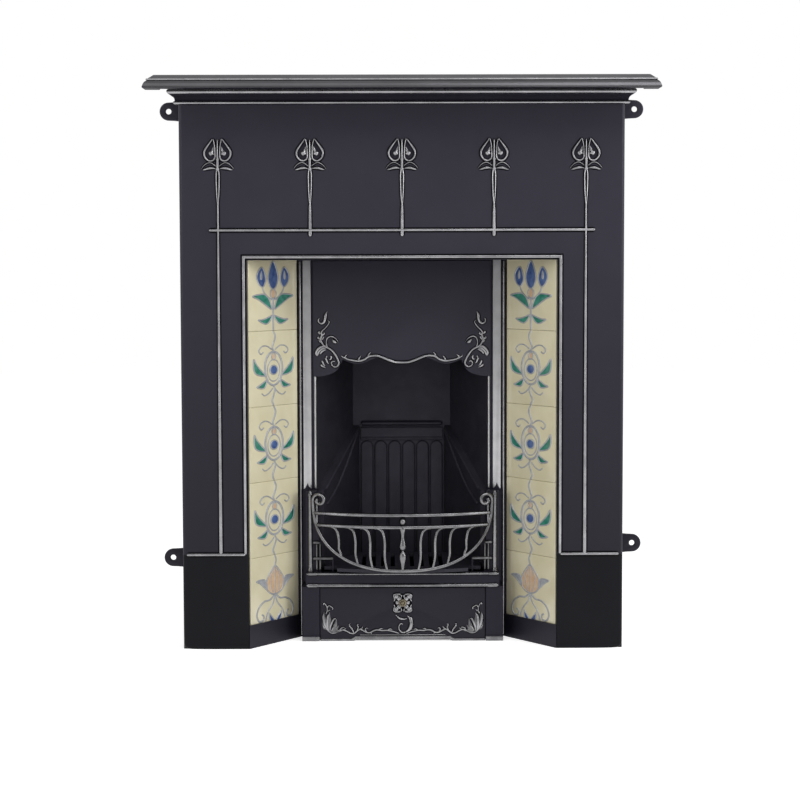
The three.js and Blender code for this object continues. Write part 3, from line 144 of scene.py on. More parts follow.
def blunt(points, radius):
    """Adds points near both ends, so that a bead can close in a round end."""
    pts = [Vector(p) for p in points]
    sh, total = shares(pts)
    radius = min(radius, total * 0.45)
    wanted = sorted(
        {0.0, total}
        | {radius * (1 - math.cos(math.radians(a))) for a in (20, 42, 66, 90)}
        | {total - radius * (1 - math.cos(math.radians(a))) for a in (20, 42, 66, 90)}
        | {s * total for s in sh}
    )
    out = []
    j = 0
    for w in wanted:
        while j < len(sh) - 2 and sh[j + 1] * total < w - 1e-9:
            j += 1
        seg = (sh[j + 1] - sh[j]) * total
        t = 0 if seg == 0 else (w - sh[j] * total) / seg
        p = pts[j].lerp(pts[j + 1], min(max(t, 0), 1))
        if not out or (p - out[-1]).length > 1e-4:
            out.append(p)
    return out


def end_factor(s, total, radius):
    reach = min(s, total - s)
    if reach >= radius:
        return 1.0
    return max(0.04, math.sqrt(max(0.0, 1 - (1 - reach / radius) ** 2)))


def value(source, t):
    """A constant, or the smooth run between stops [(share, value), ...]."""
    if isinstance(source, (list, tuple)):
        for (t0, v0), (t1, v1) in zip(source, source[1:]):
            if t <= t1:
                k = (t - t0) / (t1 - t0) if t1 > t0 else 0
                k = k * k * (3 - 2 * k)
                return v0 + (v1 - v0) * k
        return source[-1][1]
    return source


# ---- solids as (vertices, faces)


def on_face(d):
    """Places (u, v, out) on a plane parallel to the front, out towards the viewer."""
    return lambda u, v, out: at(u, d - out, v)


def skin(n, rows, loop=False):
    """Faces between rows of n points each; with loop the last row joins the first."""
    faces = []
    for r in range(rows if loop else rows - 1):
        a, b = r * n, (r + 1) % rows * n
        for i in range(n):
            j = (i + 1) % n
            faces.append((a + i, a + j, b + j, b + i))
    return faces


def caps(n, rows):
    """The faces that close the first and the last row."""
    return [tuple(range(n)), tuple(range((rows - 1) * n, rows * n))[::-1]]


def relief(path, put, width, proud, closed=False, sides=8, sink=0.6):
    """A half-round bead on a surface with round ends; width and proud may change along it."""
    pts = [Vector(p) for p in path]
    widest = max(value(width, t / 10) for t in range(11))
    if not closed:
        pts = blunt(pts, widest / 2)
    n = len(pts)
    sh, total = shares(pts)
    verts = []
    ring = sides + 3
    for i, p in enumerate(pts):
        a = pts[i - 1] if (i or closed) else p
        b = pts[(i + 1) % n] if (i < n - 1 or closed) else p
        t1 = (p - a).normalized() if (p - a).length > 1e-9 else (b - p).normalized()
        t2 = (b - p).normalized() if (b - p).length > 1e-9 else t1
        tan = t1 + t2
        tan = tan.normalized() if tan.length > 0.2 else t2
        mitre = 1 / max(0.5, math.sqrt(max(0.0, (1 + t1.dot(t2)) / 2)))
        nor = Vector((-tan.y, tan.x))
        k = 1.0 if closed else end_factor(sh[i] * total, total, widest / 2)
        w = value(width, sh[i]) / 2 * k * mitre
        h = value(proud, sh[i]) * (0.35 + 0.65 * k if k < 1 else 1)
        for s in range(sides + 1):
            ang = math.pi * s / sides
            off = math.cos(ang) * w
            verts.append(put(p.x + nor.x * off, p.y + nor.y * off, math.sin(ang) * h))
        verts.append(put(p.x - nor.x * w, p.y - nor.y * w, -sink))
        verts.append(put(p.x + nor.x * w, p.y + nor.y * w, -sink))
    return verts, skin(ring, n, closed) + ([] if closed else caps(ring, n))


def pad(outline, put, height, rings=5, sink=0.5, flat=0.0):
    """A domed patch on a surface; the outline is star-shaped round its centre."""
    pts = [Vector(p) for p in outline]
    c = sum(pts, Vector((0, 0))) / len(pts)
    n = len(pts)
    verts = [put(p.x, p.y, -sink) for p in pts]
    for r in range(rings):
        ang = math.pi / 2 * r / rings
        k = flat + (1 - flat) * math.cos(ang)
        for p in pts:
            q = c + (p - c) * k
            verts.append(put(q.x, q.y, math.sin(ang) * height))
    verts.append(put(c.x, c.y, height))
    faces = skin(n, rings + 1)
    last = rings * n
    for i in range(n):
        faces.append((last + i, last + (i + 1) % n, len(verts) - 1))
    faces.append(tuple(range(n))[::-1])
    return verts, faces


def disc(cx, cz, r, n=20):
    return [(cx + r * math.cos(2 * math.pi * i / n),
        cz + r * math.sin(2 * math.pi * i / n)) for i in range(n)]


def tube(path, radius, sides=12):
    """A round bar along a path of (x, d, z)."""
    pts = [Vector(p) for p in path]
    r_max = max(value(radius, t / 10) for t in range(11))
    pts = blunt(pts, r_max)
    n = len(pts)
    sh, total = shares(pts)
    verts = []
    side = None
    for i, p in enumerate(pts):
        a = pts[max(i - 1, 0)]
        b = pts[min(i + 1, n - 1)]
        tan = (b - a).normalized()
        if side is None:
            side = tan.cross(Vector((0, 1, 0)))
            if side.length < 1e-3:
                side = tan.cross(Vector((1, 0, 0)))
        side = (side - tan * side.dot(tan)).normalized()
        up = tan.cross(side)
        k = end_factor(sh[i] * total, total, r_max)
        r = value(radius, sh[i]) * k
        for s in range(sides):
            ang = 2 * math.pi * s / sides
            q = p + side * math.cos(ang) * r + up * math.sin(ang) * r
            verts.append(at(*q))
    return verts, skin(sides, n) + caps(sides, n)


def turned(profile, place, sides=32):
    """A turned form: profile [(radius, along)], place(a, b, along) gives the point."""
    verts, faces = [], []
    rows = []
    for r, along in profile:
        if r < 1e-6:
            rows.append([len(verts)])
            verts.append(place(0, 0, along))
        else:
            rows.append(list(range(len(verts), len(verts) + sides)))
            for s in range(sides):
                ang = 2 * math.pi * s / sides
                verts.append(place(r * math.cos(ang), r * math.sin(ang), along))
    for a, b in zip(rows, rows[1:]):
        for s in range(sides):
            q = (s + 1) % sides
            if len(a) == 1 and len(b) > 1:
                faces.append((a[0], b[q], b[s]))
            elif len(b) == 1 and len(a) > 1:
                faces.append((a[s], a[q], b[0]))
            elif len(a) > 1:
                faces.append((a[s], a[q], b[q], b[s]))
    for row in (rows[0], rows[-1]):
        if len(row) > 1:
            faces.append(tuple(row))
    return verts, faces


def wrap(profile, half, front, back):
    """A moulding run round the front and both sides with mitred corners: profile [(out, z)]."""
    corners = [(-1, back, 0), (-1, front, 1), (1, front, 1), (1, back, 0)]
    verts = []
    for side, d, forward in corners:
        for out, z in profile:
            verts.append(at(side * (half + out), d - out * forward, z))
    return verts, skin(len(profile), 4) + caps(len(profile), 4)


def plate(loops, d0, d1, edge=1.0, segments=3):
    """A flat plate from depth d0 to d1 with rounded edges; loops are outlines and holes in (x, z)."""
    curve = bpy.data.curves.new("outline", "CURVE")
    curve.dimensions = "2D"
    curve.fill_mode = "BOTH"
    curve.extrude = (d1 - d0) / 2 - edge
    curve.bevel_depth = edge
    curve.bevel_resolution = segments
    curve.offset = -edge
    for loop in loops:
        spline = curve.splines.new("POLY")
        spline.points.add(len(loop) - 1)
        for point, (x, z) in zip(spline.points, loop):
            point.co = (x, z, 0, 1)
        spline.use_cyclic_u = True
    obj = bpy.data.objects.new("outline", curve)
    bpy.context.scene.collection.objects.link(obj)
    bpy.context.view_layer.update()
    mesh = bpy.data.meshes.new_from_object(obj.evaluated_get(bpy.context.evaluated_depsgraph_get()))
    middle = (d0 + d1) / 2
    verts = [at(v.co.x, middle - v.co.z, v.co.y) for v in mesh.vertices]
    faces = [tuple(p.vertices) for p in mesh.polygons]
    bpy.data.objects.remove(obj)
    bpy.data.curves.remove(curve)
    bpy.data.meshes.remove(mesh)
    return verts, faces


def box(x0, x1, d0, d1, z0, z1, edge=0.8):
    return plate([[(x0, z0), (x1, z0), (x1, z1), (x0, z1)]], d0, d1, edge, 2)


def mirrored(part):
    verts, faces = part
    return [Vector((-v.x, v.y, v.z)) for v in verts], faces


def both(part):
    return [part, mirrored(part)]


# ---- pieces

SHARP_ANGLE = math.radians(38)
WELD = 2e-6  # vertices closer than this, in metres, become one
MATERIALS = {}


class Piece:
    def __init__(self, name, body="fireplace"):
        self.name, self.body = name, body
        self.verts, self.faces, self.mats, self.names = [], [], [], []

    def add(self, part, mat):
        parts = part if isinstance(part, list) else [part]
        if mat not in self.names:
            self.names.append(mat)
        index = self.names.index(mat)
        for verts, faces in parts:
            base = len(self.verts)
            self.verts += verts
            self.faces += [tuple(base + i for i in f) for f in faces]
            self.mats += [index] * len(faces)

    def done(self, *replaced, slot=None):
        mesh = bpy.data.meshes.new(self.name)
        mesh.from_pydata([tuple(v) for v in self.verts], [], self.faces)
        for mat in self.names:
            mesh.materials.append(MATERIALS[mat])
        for poly, index in zip(mesh.polygons, self.mats):
            poly.material_index = index
            poly.use_smooth = True
        form = bmesh.new()
        form.from_mesh(mesh)
        bmesh.ops.remove_doubles(form, verts=form.verts, dist=WELD)
        bmesh.ops.recalc_face_normals(form, faces=form.faces)
        form.to_mesh(mesh)
        form.free()
        mesh.set_sharp_from_angle(angle=SHARP_ANGLE)
        obj = bpy.data.objects.new(self.name, mesh)
        bpy.context.scene.collection.objects.link(obj)
        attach(obj, self.body)
        if replaced:
            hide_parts(*replaced)


def fuller(amount, factor, more=0.0):
    if isinstance(amount, (list, tuple)):
        return [(t, w * factor + more) for t, w in amount]
    return amount * factor + more


def emboss(piece, path, put, width, proud, mat="burnished", full=1.4, halo=3.0, sides=8, **options):
    """A bright raised line with a painted shadow: a wider, low near-black band round it stands in for
    the shade at its foot.
    """
    piece.add(relief(path, put, fuller(width, full, halo), 0.5, sides=4, **options), "painted_shade_black")
    piece.add(relief(path, put, fuller(width, full), fuller(proud, 0.6 + 0.4 * full), sides=sides,
        **options), mat)


def sided(points, side):
    """The points as drawn, or mirrored across the middle where side is -1."""
    return [(side * u, v) for u, v in points]


def strokes(piece, put, side, table, **options):
    """Embosses a table of lines: (step, width, proud, lines)."""
    for step, width, proud, lines in table:
        for points in lines:
            emboss(piece, smooth(sided(points, side), step), put, width, proud, **options)


# ---- materials


def node(tree, kind, **values):
    """A shader node with constants on the inputs named, where _ stands for a space."""
    made = tree.nodes.new("ShaderNode" + kind)
    for name, amount in values.items():
        made.inputs[name.replace("_", " ")].default_value = amount
    return made


def bare_tree(owner):
    """The empty node tree of a material or world."""
    owner.use_nodes = True
    owner.node_tree.nodes.clear()
    return owner.node_tree


def shader(name):
    mat = bpy.data.materials.new(name)
    MATERIALS[name] = mat
    tree = bare_tree(mat)
    bsdf = node(tree, "BsdfPrincipled")
    tree.links.new(bsdf.outputs[0], node(tree, "OutputMaterial").inputs[0])
    return tree, bsdf, node(tree, "TexCoord").outputs["Object"]


def noise(tree, coords, scale, detail=3.0, stretch=None):
    if stretch:
        mapping = node(tree, "Mapping", Scale=stretch)
        tree.links.new(coords, mapping.inputs["Vector"])
        coords = mapping.outputs[0]
    made = node(tree, "TexNoise", Scale=scale, Detail=detail, Roughness=0.55)
    tree.links.new(coords, made.inputs["Vector"])
    return made.outputs["Fac"]


def remap(tree, source, low, high, to_low=0.0, to_high=1.0):
    made = node(tree, "MapRange", From_Min=low, From_Max=high, To_Min=to_low, To_Max=to_high)
    tree.links.new(source, made.inputs["Value"])
    return made.outputs["Result"]


def blend_colours(tree, factor, a, b):
    made = node(tree, "Mix")
    made.data_type = "RGBA"
    tree.links.new(factor, made.inputs["Factor"])
    for socket, colour in ((made.inputs[6], a), (made.inputs[7], b)):
        if isinstance(colour, tuple):
            socket.default_value = (*colour, 1.0)
        else:
            tree.links.new(colour, socket)
    return made.outputs[2]


def bumps(tree, bsdf, layers):
    """layers: [(height source, distance in metres, strength)]"""
    normal = None
    for source, distance, strength in layers:
        made = node(tree, "Bump", Distance=distance, Strength=strength)
        tree.links.new(source, made.inputs["Height"])
        if normal:
            tree.links.new(normal, made.inputs["Normal"])
        normal = made.outputs[0]
    tree.links.new(normal, bsdf.inputs["Normal"])


BODY_SHADE_TOP = 0.84  # height in metres up to which the body is painted darker towards the bottom as painted shade; above it the body has its full colour
CREST = (-0.42, -0.9)  # the normal's Y over which the painted shade on a raised line's sides gives way to its crest


def iron(name, dark, light, metallic, rough, grain=1.0, patch=14.0, brushed=None, sheen=0.5, low=None,
         tint=None, flank_shade=None):
    """Cast iron, blotched between two colours.

    low is a painted shade: the darker colour at the plinth bead, from where it turns into the others
    up to BODY_SHADE_TOP.
    flank_shade is a painted shade: the colour that the sides of a raised line take as they turn away
    from the front, beside its polished crest."""
    tree, bsdf, co = shader(name)
    blotch = remap(tree, noise(tree, co, patch, 5.0), 0.35, 0.68)
    speck = noise(tree, co, 420.0, 2.0)
    colour = blend_colours(tree, blotch, dark, light)
    smear = remap(tree, noise(tree, co, 48.0, 4.0), 0.3, 0.7, rough - 0.05 * grain,
        rough + 0.05 * grain)
    bsdf.inputs["Metallic"].default_value = metallic
    bsdf.inputs["Specular IOR Level"].default_value = sheen
    if tint:
        bsdf.inputs["Specular Tint"].default_value = (*tint, 1.0)
    # Painted shade: the colour turns darker towards the bottom of the body.
    if low:
        split = node(tree, "SeparateXYZ")
        tree.links.new(co, split.inputs[0])
        climb = remap(tree, split.outputs["Z"], PLINTH_BEAD_Z * 0.001, BODY_SHADE_TOP)
        colour = blend_colours(tree, climb, low, colour)
    # Painted shade: the sides of a raised line turn darker as they face away from the front.
    if flank_shade:
        normal = node(tree, "SeparateXYZ")
        tree.links.new(node(tree, "NewGeometry").outputs["Normal"], normal.inputs[0])
        crest = remap(tree, normal.outputs["Y"], *CREST)
        colour = blend_colours(tree, crest, flank_shade, colour)
    tree.links.new(colour, bsdf.inputs["Base Color"])
    tree.links.new(smear, bsdf.inputs["Roughness"])
    layers = [
        (noise(tree, co, 30.0, 3.0), 0.0006, 0.25 * grain),
        (speck, 0.00012, 0.45 * grain),
    ]
    if brushed:
        layers.append((noise(tree, co, 60.0, 2.0, stretch=brushed), 0.00008, 0.5))
    bumps(tree, bsdf, layers)


def glaze(name, colour, shade, scale=22.0, rough=0.12, ripple=0.35):
    """Glossy ceramic glaze, slightly pooled and uneven."""
    tree, bsdf, co = shader(name)
    cloud = remap(tree, noise(tree, co, scale, 4.0), 0.3, 0.72)
    tree.links.new(blend_colours(tree, cloud, colour, shade), bsdf.inputs["Base Color"])
    rough_map = remap(tree, noise(tree, co, 60.0, 3.0), 0.3, 0.7, rough - 0.03, rough + 0.05)
    tree.links.new(rough_map, bsdf.inputs["Roughness"])
    bsdf.inputs["Coat Weight"].default_value = 0.5
    bsdf.inputs["Coat Roughness"].default_value = 0.06
    bumps(tree, bsdf, [(noise(tree, co, 16.0, 2.0), 0.001, ripple),
        (noise(tree, co, 260.0, 2.0), 0.0001, 0.15)])


PAINT = ((0.0128, 0.0118, 0.0185), (0.0150, 0.0139, 0.0212))
# Painted shade for the sides of raised lines that face away from the front.
FLANK_SHADE = (0.030, 0.0295, 0.034)
VIOLET = (0.86, 0.84, 1.0)
# The body's black iron is painted darker towards its bottom (low) as painted shade.
iron("black_iron", (0.0222, 0.0208, 0.0304), (0.0250, 0.0236, 0.0338), 0.0, 0.42, grain=0.2,
    sheen=0.36, low=(0.0060, 0.0054, 0.0088), tint=VIOLET)
# A darker, duller copy of the black iron for the plinth below the bead: painted shade.
iron("plinth_shade_iron", (0.0068, 0.0070, 0.0096), (0.0082, 0.0084, 0.0112), 0.0, 0.42, grain=0.2,
    sheen=0.12)
iron("black_flat", *PAINT, 0.0, 0.44, grain=0.2, sheen=0.26, tint=VIOLET)
# A low-sheen copy of the black paint for surfaces under the shelf: painted shade.
iron("shaded_black", *PAINT, 0.0, 0.5, grain=0.2, sheen=0.10, tint=VIOLET)
# Near-black and almost without sheen: painted shade round raised lines.
iron("painted_shade_black", (0.0025, 0.0024, 0.0030), (0.0045, 0.0043, 0.0055), 0.0, 0.7, grain=0.4, sheen=0.06)
iron("burnished", (0.27, 0.266, 0.28), (0.40, 0.395, 0.412), 0.97, 0.28, grain=0.25, patch=40.0,
    flank_shade=FLANK_SHADE)
iron("shelf_iron", (0.085, 0.084, 0.090), (0.105, 0.104, 0.112), 0.85, 0.30, grain=0.25, patch=9.0)
iron("strip_polished", (0.40, 0.397, 0.408), (0.49, 0.487, 0.498), 1.0, 0.31, grain=0.3, patch=30.0,
    brushed=(1.0, 1.0, 0.04))
iron("moulding_polish", (0.27, 0.266, 0.28), (0.38, 0.375, 0.392), 0.97, 0.27, grain=0.2, patch=30.0)
iron("bar_iron", (0.16, 0.158, 0.166), (0.27, 0.267, 0.278), 0.95, 0.27, grain=0.2, patch=40.0,
    flank_shade=FLANK_SHADE)
iron("dull_bar", (0.10, 0.099, 0.104), (0.20, 0.198, 0.206), 0.9, 0.36, grain=0.8, patch=50.0)
# Sooty iron for the fire chamber; the floor's middle cell also takes it as painted shade.
iron("sooty_iron", (0.0095, 0.0088, 0.0125), (0.016, 0.015, 0.021), 0.0, 0.58, grain=1.2, patch=18.0,
    tint=VIOLET)
iron("dark_steel", (0.07, 0.07, 0.072), (0.13, 0.13, 0.135), 0.9, 0.42, patch=40.0)
iron("rubbed_bronze", (0.13, 0.11, 0.075), (0.34, 0.30, 0.22), 0.9, 0.34, grain=1.2, patch=80.0)
glaze("cream_glaze", (0.74, 0.675, 0.455), (0.80, 0.745, 0.54))
glaze("blue_glaze", (0.035, 0.075, 0.24), (0.11, 0.19, 0.42), scale=90.0)
glaze("teal_glaze", (0.012, 0.16, 0.105), (0.07, 0.33, 0.25), scale=90.0)
glaze("peach_glaze", (0.66, 0.42, 0.24), (0.78, 0.60, 0.42), scale=70.0)
glaze("lilac_line", (0.33, 0.345, 0.38), (0.47, 0.485, 0.51), scale=120.0, ripple=0.2)

# ---- surround

PLATE = on_face(0.0)
ROUND = 7.0  # outer edges of the body, in plan
FOOT_CORNER = 12.0


def body_shell():
    """Front plate with rounded outer edges, one leg each side and the header over the opening."""
    x1, x2 = OPENING_HALF, BODY_HALF
    corner = [
        (x2 - FOOT_CORNER * (1 - math.sin(a)), FOOT_CORNER * (1 - math.cos(a)))
        for a in [math.radians(15 * i) for i in range(7)]
    ]
    right = [(x1, 0.0), *corner, (x2, BODY_TOP)]
    left = [(-x, z) for x, z in right][::-1]
    outline = [*right, *left, (-x1, OPENING_TOP), (x1, OPENING_TOP)]
    form = bmesh.new()
    front = [form.verts.new(at(x, 0, z)) for x, z in outline]
    face = form.faces.new(front)
    made = bmesh.ops.extrude_face_region(form, geom=[face])
    back = [g for g in made["geom"] if isinstance(g, bmesh.types.BMVert)]
    bmesh.ops.translate(form, verts=back, vec=(0, WALL * 0.001, 0))
    form.faces.ensure_lookup_table()
    bmesh.ops.recalc_face_normals(form, faces=form.faces)
    y0 = at(0, 0, 0).y

    def rim(test):
        return [
            e
            for e in form.edges
            if all(abs(v.co.y - y0) < 1e-6 for v in e.verts) and test(*[v.co * 1000 for v in e.verts])
        ]

    limit = BODY_HALF - FOOT_CORNER - 0.1
    outer = rim(lambda a, b: min(abs(a.x), abs(b.x)) > limit and max(a.z, b.z) > 0.1 and a.x * b.x > 0)
    bmesh.ops.bevel(form, geom=outer, offset=ROUND * 0.001, segments=6, profile=0.5, affect="EDGES")
    inner = rim(lambda a, b: max(abs(a.x), abs(b.x)) < OPENING_HALF + 0.1 and max(a.z, b.z) > 0.1)
    bmesh.ops.bevel(form, geom=inner, offset=0.0018, segments=4, profile=0.5, affect="EDGES")
    # The plate is cut at the plinth bead, so that the part below can take the darker painted-shade
    # copy of the iron.
    line = PLINTH_BEAD_Z * 0.001
    every = [*form.verts, *form.edges, *form.faces]
    bmesh.ops.bisect_plane(form, geom=every, plane_co=(0, 0, line), plane_no=(0, 0, 1))
    verts = [v.co.copy() for v in form.verts]
    form.verts.index_update()
    upper = [tuple(v.index for v in f.verts) for f in form.faces if f.calc_center_median().z > line]
    lower = [tuple(v.index for v in f.verts) for f in form.faces if f.calc_center_median().z <= line]
    form.free()
    return (verts, upper), (verts, lower)


BED = [
    (0, 1088.7), (5.5, 1088.9), (7.6, 1090.0), (8.4, 1091.9), (7.8, 1093.8), (6.2, 1095.0),
    (6.0, 1096.9), (6.6, 1099.6), (8.6, 1102.8), (11.6, 1105.2), (12.8, 1106.6), (13.4, 1108.2),
    (17.2, 1108.7), (19.4, 1110.6), (20.0, 1113.2), (19.4, 1115.8), (17.2, 1117.7), (12.0, 1118.6),
    (10.0, 1119.9),
]
ASTRAGAL, TORUS = BED[1:6], BED[12:17]
bed_profile = [(p.x, p.y) for p in smooth(BED, 0.8)] + [(10, 1131.7), (-4, 1131.7), (-4, 1088.7)]


def raised_band(points, out=0.5, depth=4.0):
    """The face of a bead set a little proud of the moulding behind it."""
    face = [(p.x + out, p.y) for p in smooth(points, 0.6)]
    return face + [(face[-1][0] - depth, face[-1][1]), (face[0][0] - depth, face[0][1])]


LUG_HEIGHTS = {-1: (178, BODY_TOP - 52.7), 1: (205, BODY_TOP - 49.7)}
LUG_OUT = 25  # its hole from the side of the body
LUG_R = 18
LUG_HOLE = 5.6
LUG_THICK = 8


def lug(side, z):
    """A fixing ear with a hole, flush with the back of the returns."""
    hole = disc(0, 0, LUG_HOLE, 28)
    ear = [(LUG_R * math.sin(a), -LUG_R * math.cos(a)) for a in [math.pi * i / 24 for i in range(25)]]
    ear += [(-12, 18.6), (-27, 20), (-27, -20), (-12, -18.6)]
    x = BODY_HALF + LUG_OUT
    loops = [[(side * (x + u), z + v) for u, v in loop] for loop in (ear, hole)]
    return plate(loops, RETURN_DEPTH - LUG_THICK, RETURN_DEPTH, 1.6, 3)


surround = Piece("surround_body")
above, below = body_shell()
surround.add(above, "black_iron")
# Below the plinth bead the front plate is painted darker, as shade.
surround.add(below, "plinth_shade_iron")
surround.add(both(box(BODY_HALF - WALL, BODY_HALF, WALL - 0.6, RETURN_DEPTH, 0, BODY_TOP, 0.5)),
    "black_iron")
# The bed moulding under the shelf takes the low-sheen black as painted shade.
surround.add(wrap(bed_profile, BODY_HALF, 0.0, RETURN_DEPTH), "shaded_black")
surround.add(box(-BODY_HALF + 1, BODY_HALF - 1, WALL - 1, 58, BODY_TOP - WALL, BODY_TOP, 0.5),
    "black_iron")
for side, heights in LUG_HEIGHTS.items():
    surround.add([lug(side, z) for z in heights], "black_iron")
surround.add(wrap(raised_band(TORUS), BODY_HALF, 0.0, RETURN_DEPTH - 0.5), "moulding_polish")
surround.add(wrap(raised_band(ASTRAGAL), BODY_HALF, 0.0, RETURN_DEPTH - 0.5), "moulding_polish")
surround.done("surround_front", slot="black_iron")

beads = Piece("surround_beads")
outer_stem = 2 * STEM_PITCH
BEAD = {"full": 1.0, "halo": 3.4, "sides": 10}
emboss(beads, [(-outer_stem - 19, CROSS_BEAD_Z), (outer_stem + 19, CROSS_BEAD_Z)], PLATE, 6.8, 4.6,
    **BEAD)
emboss(
    beads,
    [(-FRAME_BEAD_X, PLINTH_BEAD_Z), (-FRAME_BEAD_X, FRAME_BEAD_Z), (FRAME_BEAD_X, FRAME_BEAD_Z),
     (FRAME_BEAD_X, PLINTH_BEAD_Z)],
    PLATE, 7.6, 4.8, **BEAD,
)
for s in (-1, 1):
    emboss(beads, [(s * FRAME_BEAD_X, PLINTH_BEAD_Z), (s * 434, PLINTH_BEAD_Z)], PLATE, 7.0, 4.8,
        **BEAD)
beads.done(slot="black_iron")

# Tulip, drawn round its stem line.
PETAL = [(-8.6, 1022.0), (-14.4, 1014.0), (-20.3, 1006.0), (-24.8, 998.6), (-26.2, 992.0),
    (-24.0, 984.8), (-18.8, 979.4), (-13.2, 978.0), (-8.0, 979.8), (-5.0, 984.6), (-4.8, 992.0),
    (-5.0, 1001.0), (-6.0, 1011.0), (-8.6, 1022.0)]


def tulip(name, x, foot):
    piece = Piece(name)
    for s in (-1, 1):
        def on(points):
            return [(x - s * u, v) for u, v in points]

        petal = smooth(on(PETAL), 1.4)
        emboss(piece, petal, PLATE, [(0, 3.0), (0.25, 4.6), (0.5, 4.2), (0.8, 2.8), (1, 3.0)], 4.2,
            full=1.2)
        floor = [(x + (p.x - x) * 0.93 - s * 0.9, 996 + (p.y - 996) * 0.93) for p in petal[:-1]]
        piece.add(pad(floor, PLATE, 0.9, rings=3, flat=0.3), "black_flat")
        drop = smooth(on([(-7.6, 1007.0), (-8.8, 1000.5), (-11.2, 995.0), (-12.8, 990.6),
            (-13.0, 986.8)]), 1.0)
        emboss(piece, drop, PLATE, [(0, 1.4), (0.35, 4.0), (0.72, 9.6), (0.86, 9.2), (1, 4.0)],
            [(0, 1.4), (0.4, 2.2), (0.75, 4.4), (1, 3.0)])
        leaf = smooth(on([(-2.6, 961.8), (-9.0, 963.4), (-16.0, 963.6), (-23.0, 961.6),
            (-30.4, 959.4)]), 1.2)
        emboss(piece, leaf, PLATE, [(0, 1.4), (0.45, 4.6), (0.75, 3.4), (1, 0.8)],
            [(0, 2.2), (0.5, 3.6), (1, 1.4)])
        arc = smooth(on([(-3.0, 967.0), (-8.5, 971.5), (-15.0, 974.4), (-22.0, 972.4), (-28.0, 967.4),
            (-32.0, 962.0)]), 1.4)
        emboss(piece, arc, PLATE, [(0, 2.0), (0.5, 2.6), (1, 1.2)], [(0, 2.4), (0.5, 3.0), (1, 1.6)],
            full=1.15)
        strand = smooth(on([(-1.6, 961.0), (-2.9, 950.0), (-2.7, 930.0), (-2.1, 912.0), (-0.9, 896.0),
            (-0.6, 888.0)]), 3.0)
        emboss(piece, strand, PLATE, [(0, 3.2), (0.6, 3.0), (1, 2.4)], 3.2, full=1.2)
    emboss(piece, [(x, 981.0), (x, 1021.0)], PLATE, [(0, 4.2), (0.5, 3.0), (1, 2.0)],
        [(0, 4.2), (1, 3.0)])
    emboss(piece, [(x, 962.0), (x, 982.0)], PLATE, [(0, 5.0), (0.5, 4.0), (1, 5.0)], 4.4)
    piece.add(pad(disc(x, 981.0, 4.3), PLATE, 5.0), "burnished")
    piece.add(pad(disc(x, 961.5, 4.8), PLATE, 5.2), "burnished")
    emboss(piece, [(x, foot), (x, foot + 6), (x, 880.0), (x, 897.0)], PLATE,
           [(0, 7.0), (0.12, 6.0), (0.7, 5.4), (1, 3.8)], 3.6, full=1.25)
    piece.done(slot="black_iron")


for i, name in enumerate(("tulip_far_left", "tulip_left", "tulip_middle", "tulip_right",
        "tulip_far_right")):
    x = (i - 2) * STEM_PITCH
    tulip(name, x, PLINTH_BEAD_Z if abs(i - 2) == 2 else STEM_FOOT_Z)

# ---- shelf

# The shelf's rim from the top down: slope, fillet, ovolo and flat underside.
RIM_SLOPE = [(0, 1140.0), (2.6, 1138.2), (5.4, 1136.1), (8.0, 1134.2), (9.4, 1133.3)]
RIM_FILLET = [(9.6, 1132.1), (11.4, 1132.4), (13.0, 1131.7), (13.7, 1130.4), (13.2, 1129.2),
    (12.6, 1128.4)]
RIM_OVOLO = [(13.6, 1127.6), (15.6, 1126.2), (17.8, 1123.6), (19.4, 1120.4), (20.5, 1117.2),
    (21.0, 1114.6)]
RIM_UNDER = [(20.4, 1114.0), (14.0, 1113.9), (2.0, 1114.0), (-8.6, 1114.3)]
shelf_rim = [
    (p.x, p.y)
    for points, step in ((RIM_SLOPE, 1.0), (RIM_FILLET, 0.6), (RIM_OVOLO, 0.8), (RIM_UNDER, 4.0))
    for p in smooth(points, step)
] + [(-9.0, 1115.0), (-9.0, 1140.0)]
shelf = Piece("mantel_shelf_top")
shelf.add(wrap(shelf_rim, SHELF_HALF, -SHELF_OUT, SHELF_RETURN - SHELF_OUT), "shelf_iron")
# A low-sheen black strip on the shelf's underside: painted shade.
under_shade_strip = [(19.8, 1113.5), (19.8, 1114.2), (-8.8, 1114.6), (-8.8, 1113.5)]
shelf.add(wrap(under_shade_strip, SHELF_HALF, -SHELF_OUT, SHELF_RETURN - SHELF_OUT), "shaded_black")
shelf_bead = raised_band(RIM_FILLET[1:5], 0.25, 3.0)
shelf.add(wrap(shelf_bead, SHELF_HALF, -SHELF_OUT, SHELF_RETURN - SHELF_OUT), "moulding_polish")
shelf.add(box(-SHELF_HALF + 7, SHELF_HALF - 7, -SHELF_OUT + 7, RETURN_DEPTH - 0.1, SHELF_TOP - 8,
    SHELF_TOP, 0.4), "shelf_iron")
shelf.done("mantel_shelf", slot="shelf_iron")

# ---- tiles


def on_tile(side, index):
    """Places (u across from the outer edge, v up, out) on a tile's face."""
    foot = TILE_FOOT_Z + (5 - index) * TILE_STEP
    ca, sa = math.cos(SPLAY), math.sin(SPLAY)

    def put(u, v, out):
        x = TILE_OUTER[0] - ca * u - sa * out
        d = TILE_OUTER[1] + sa * u - ca * out
        return at(side * x, d, foot + v)

    return put


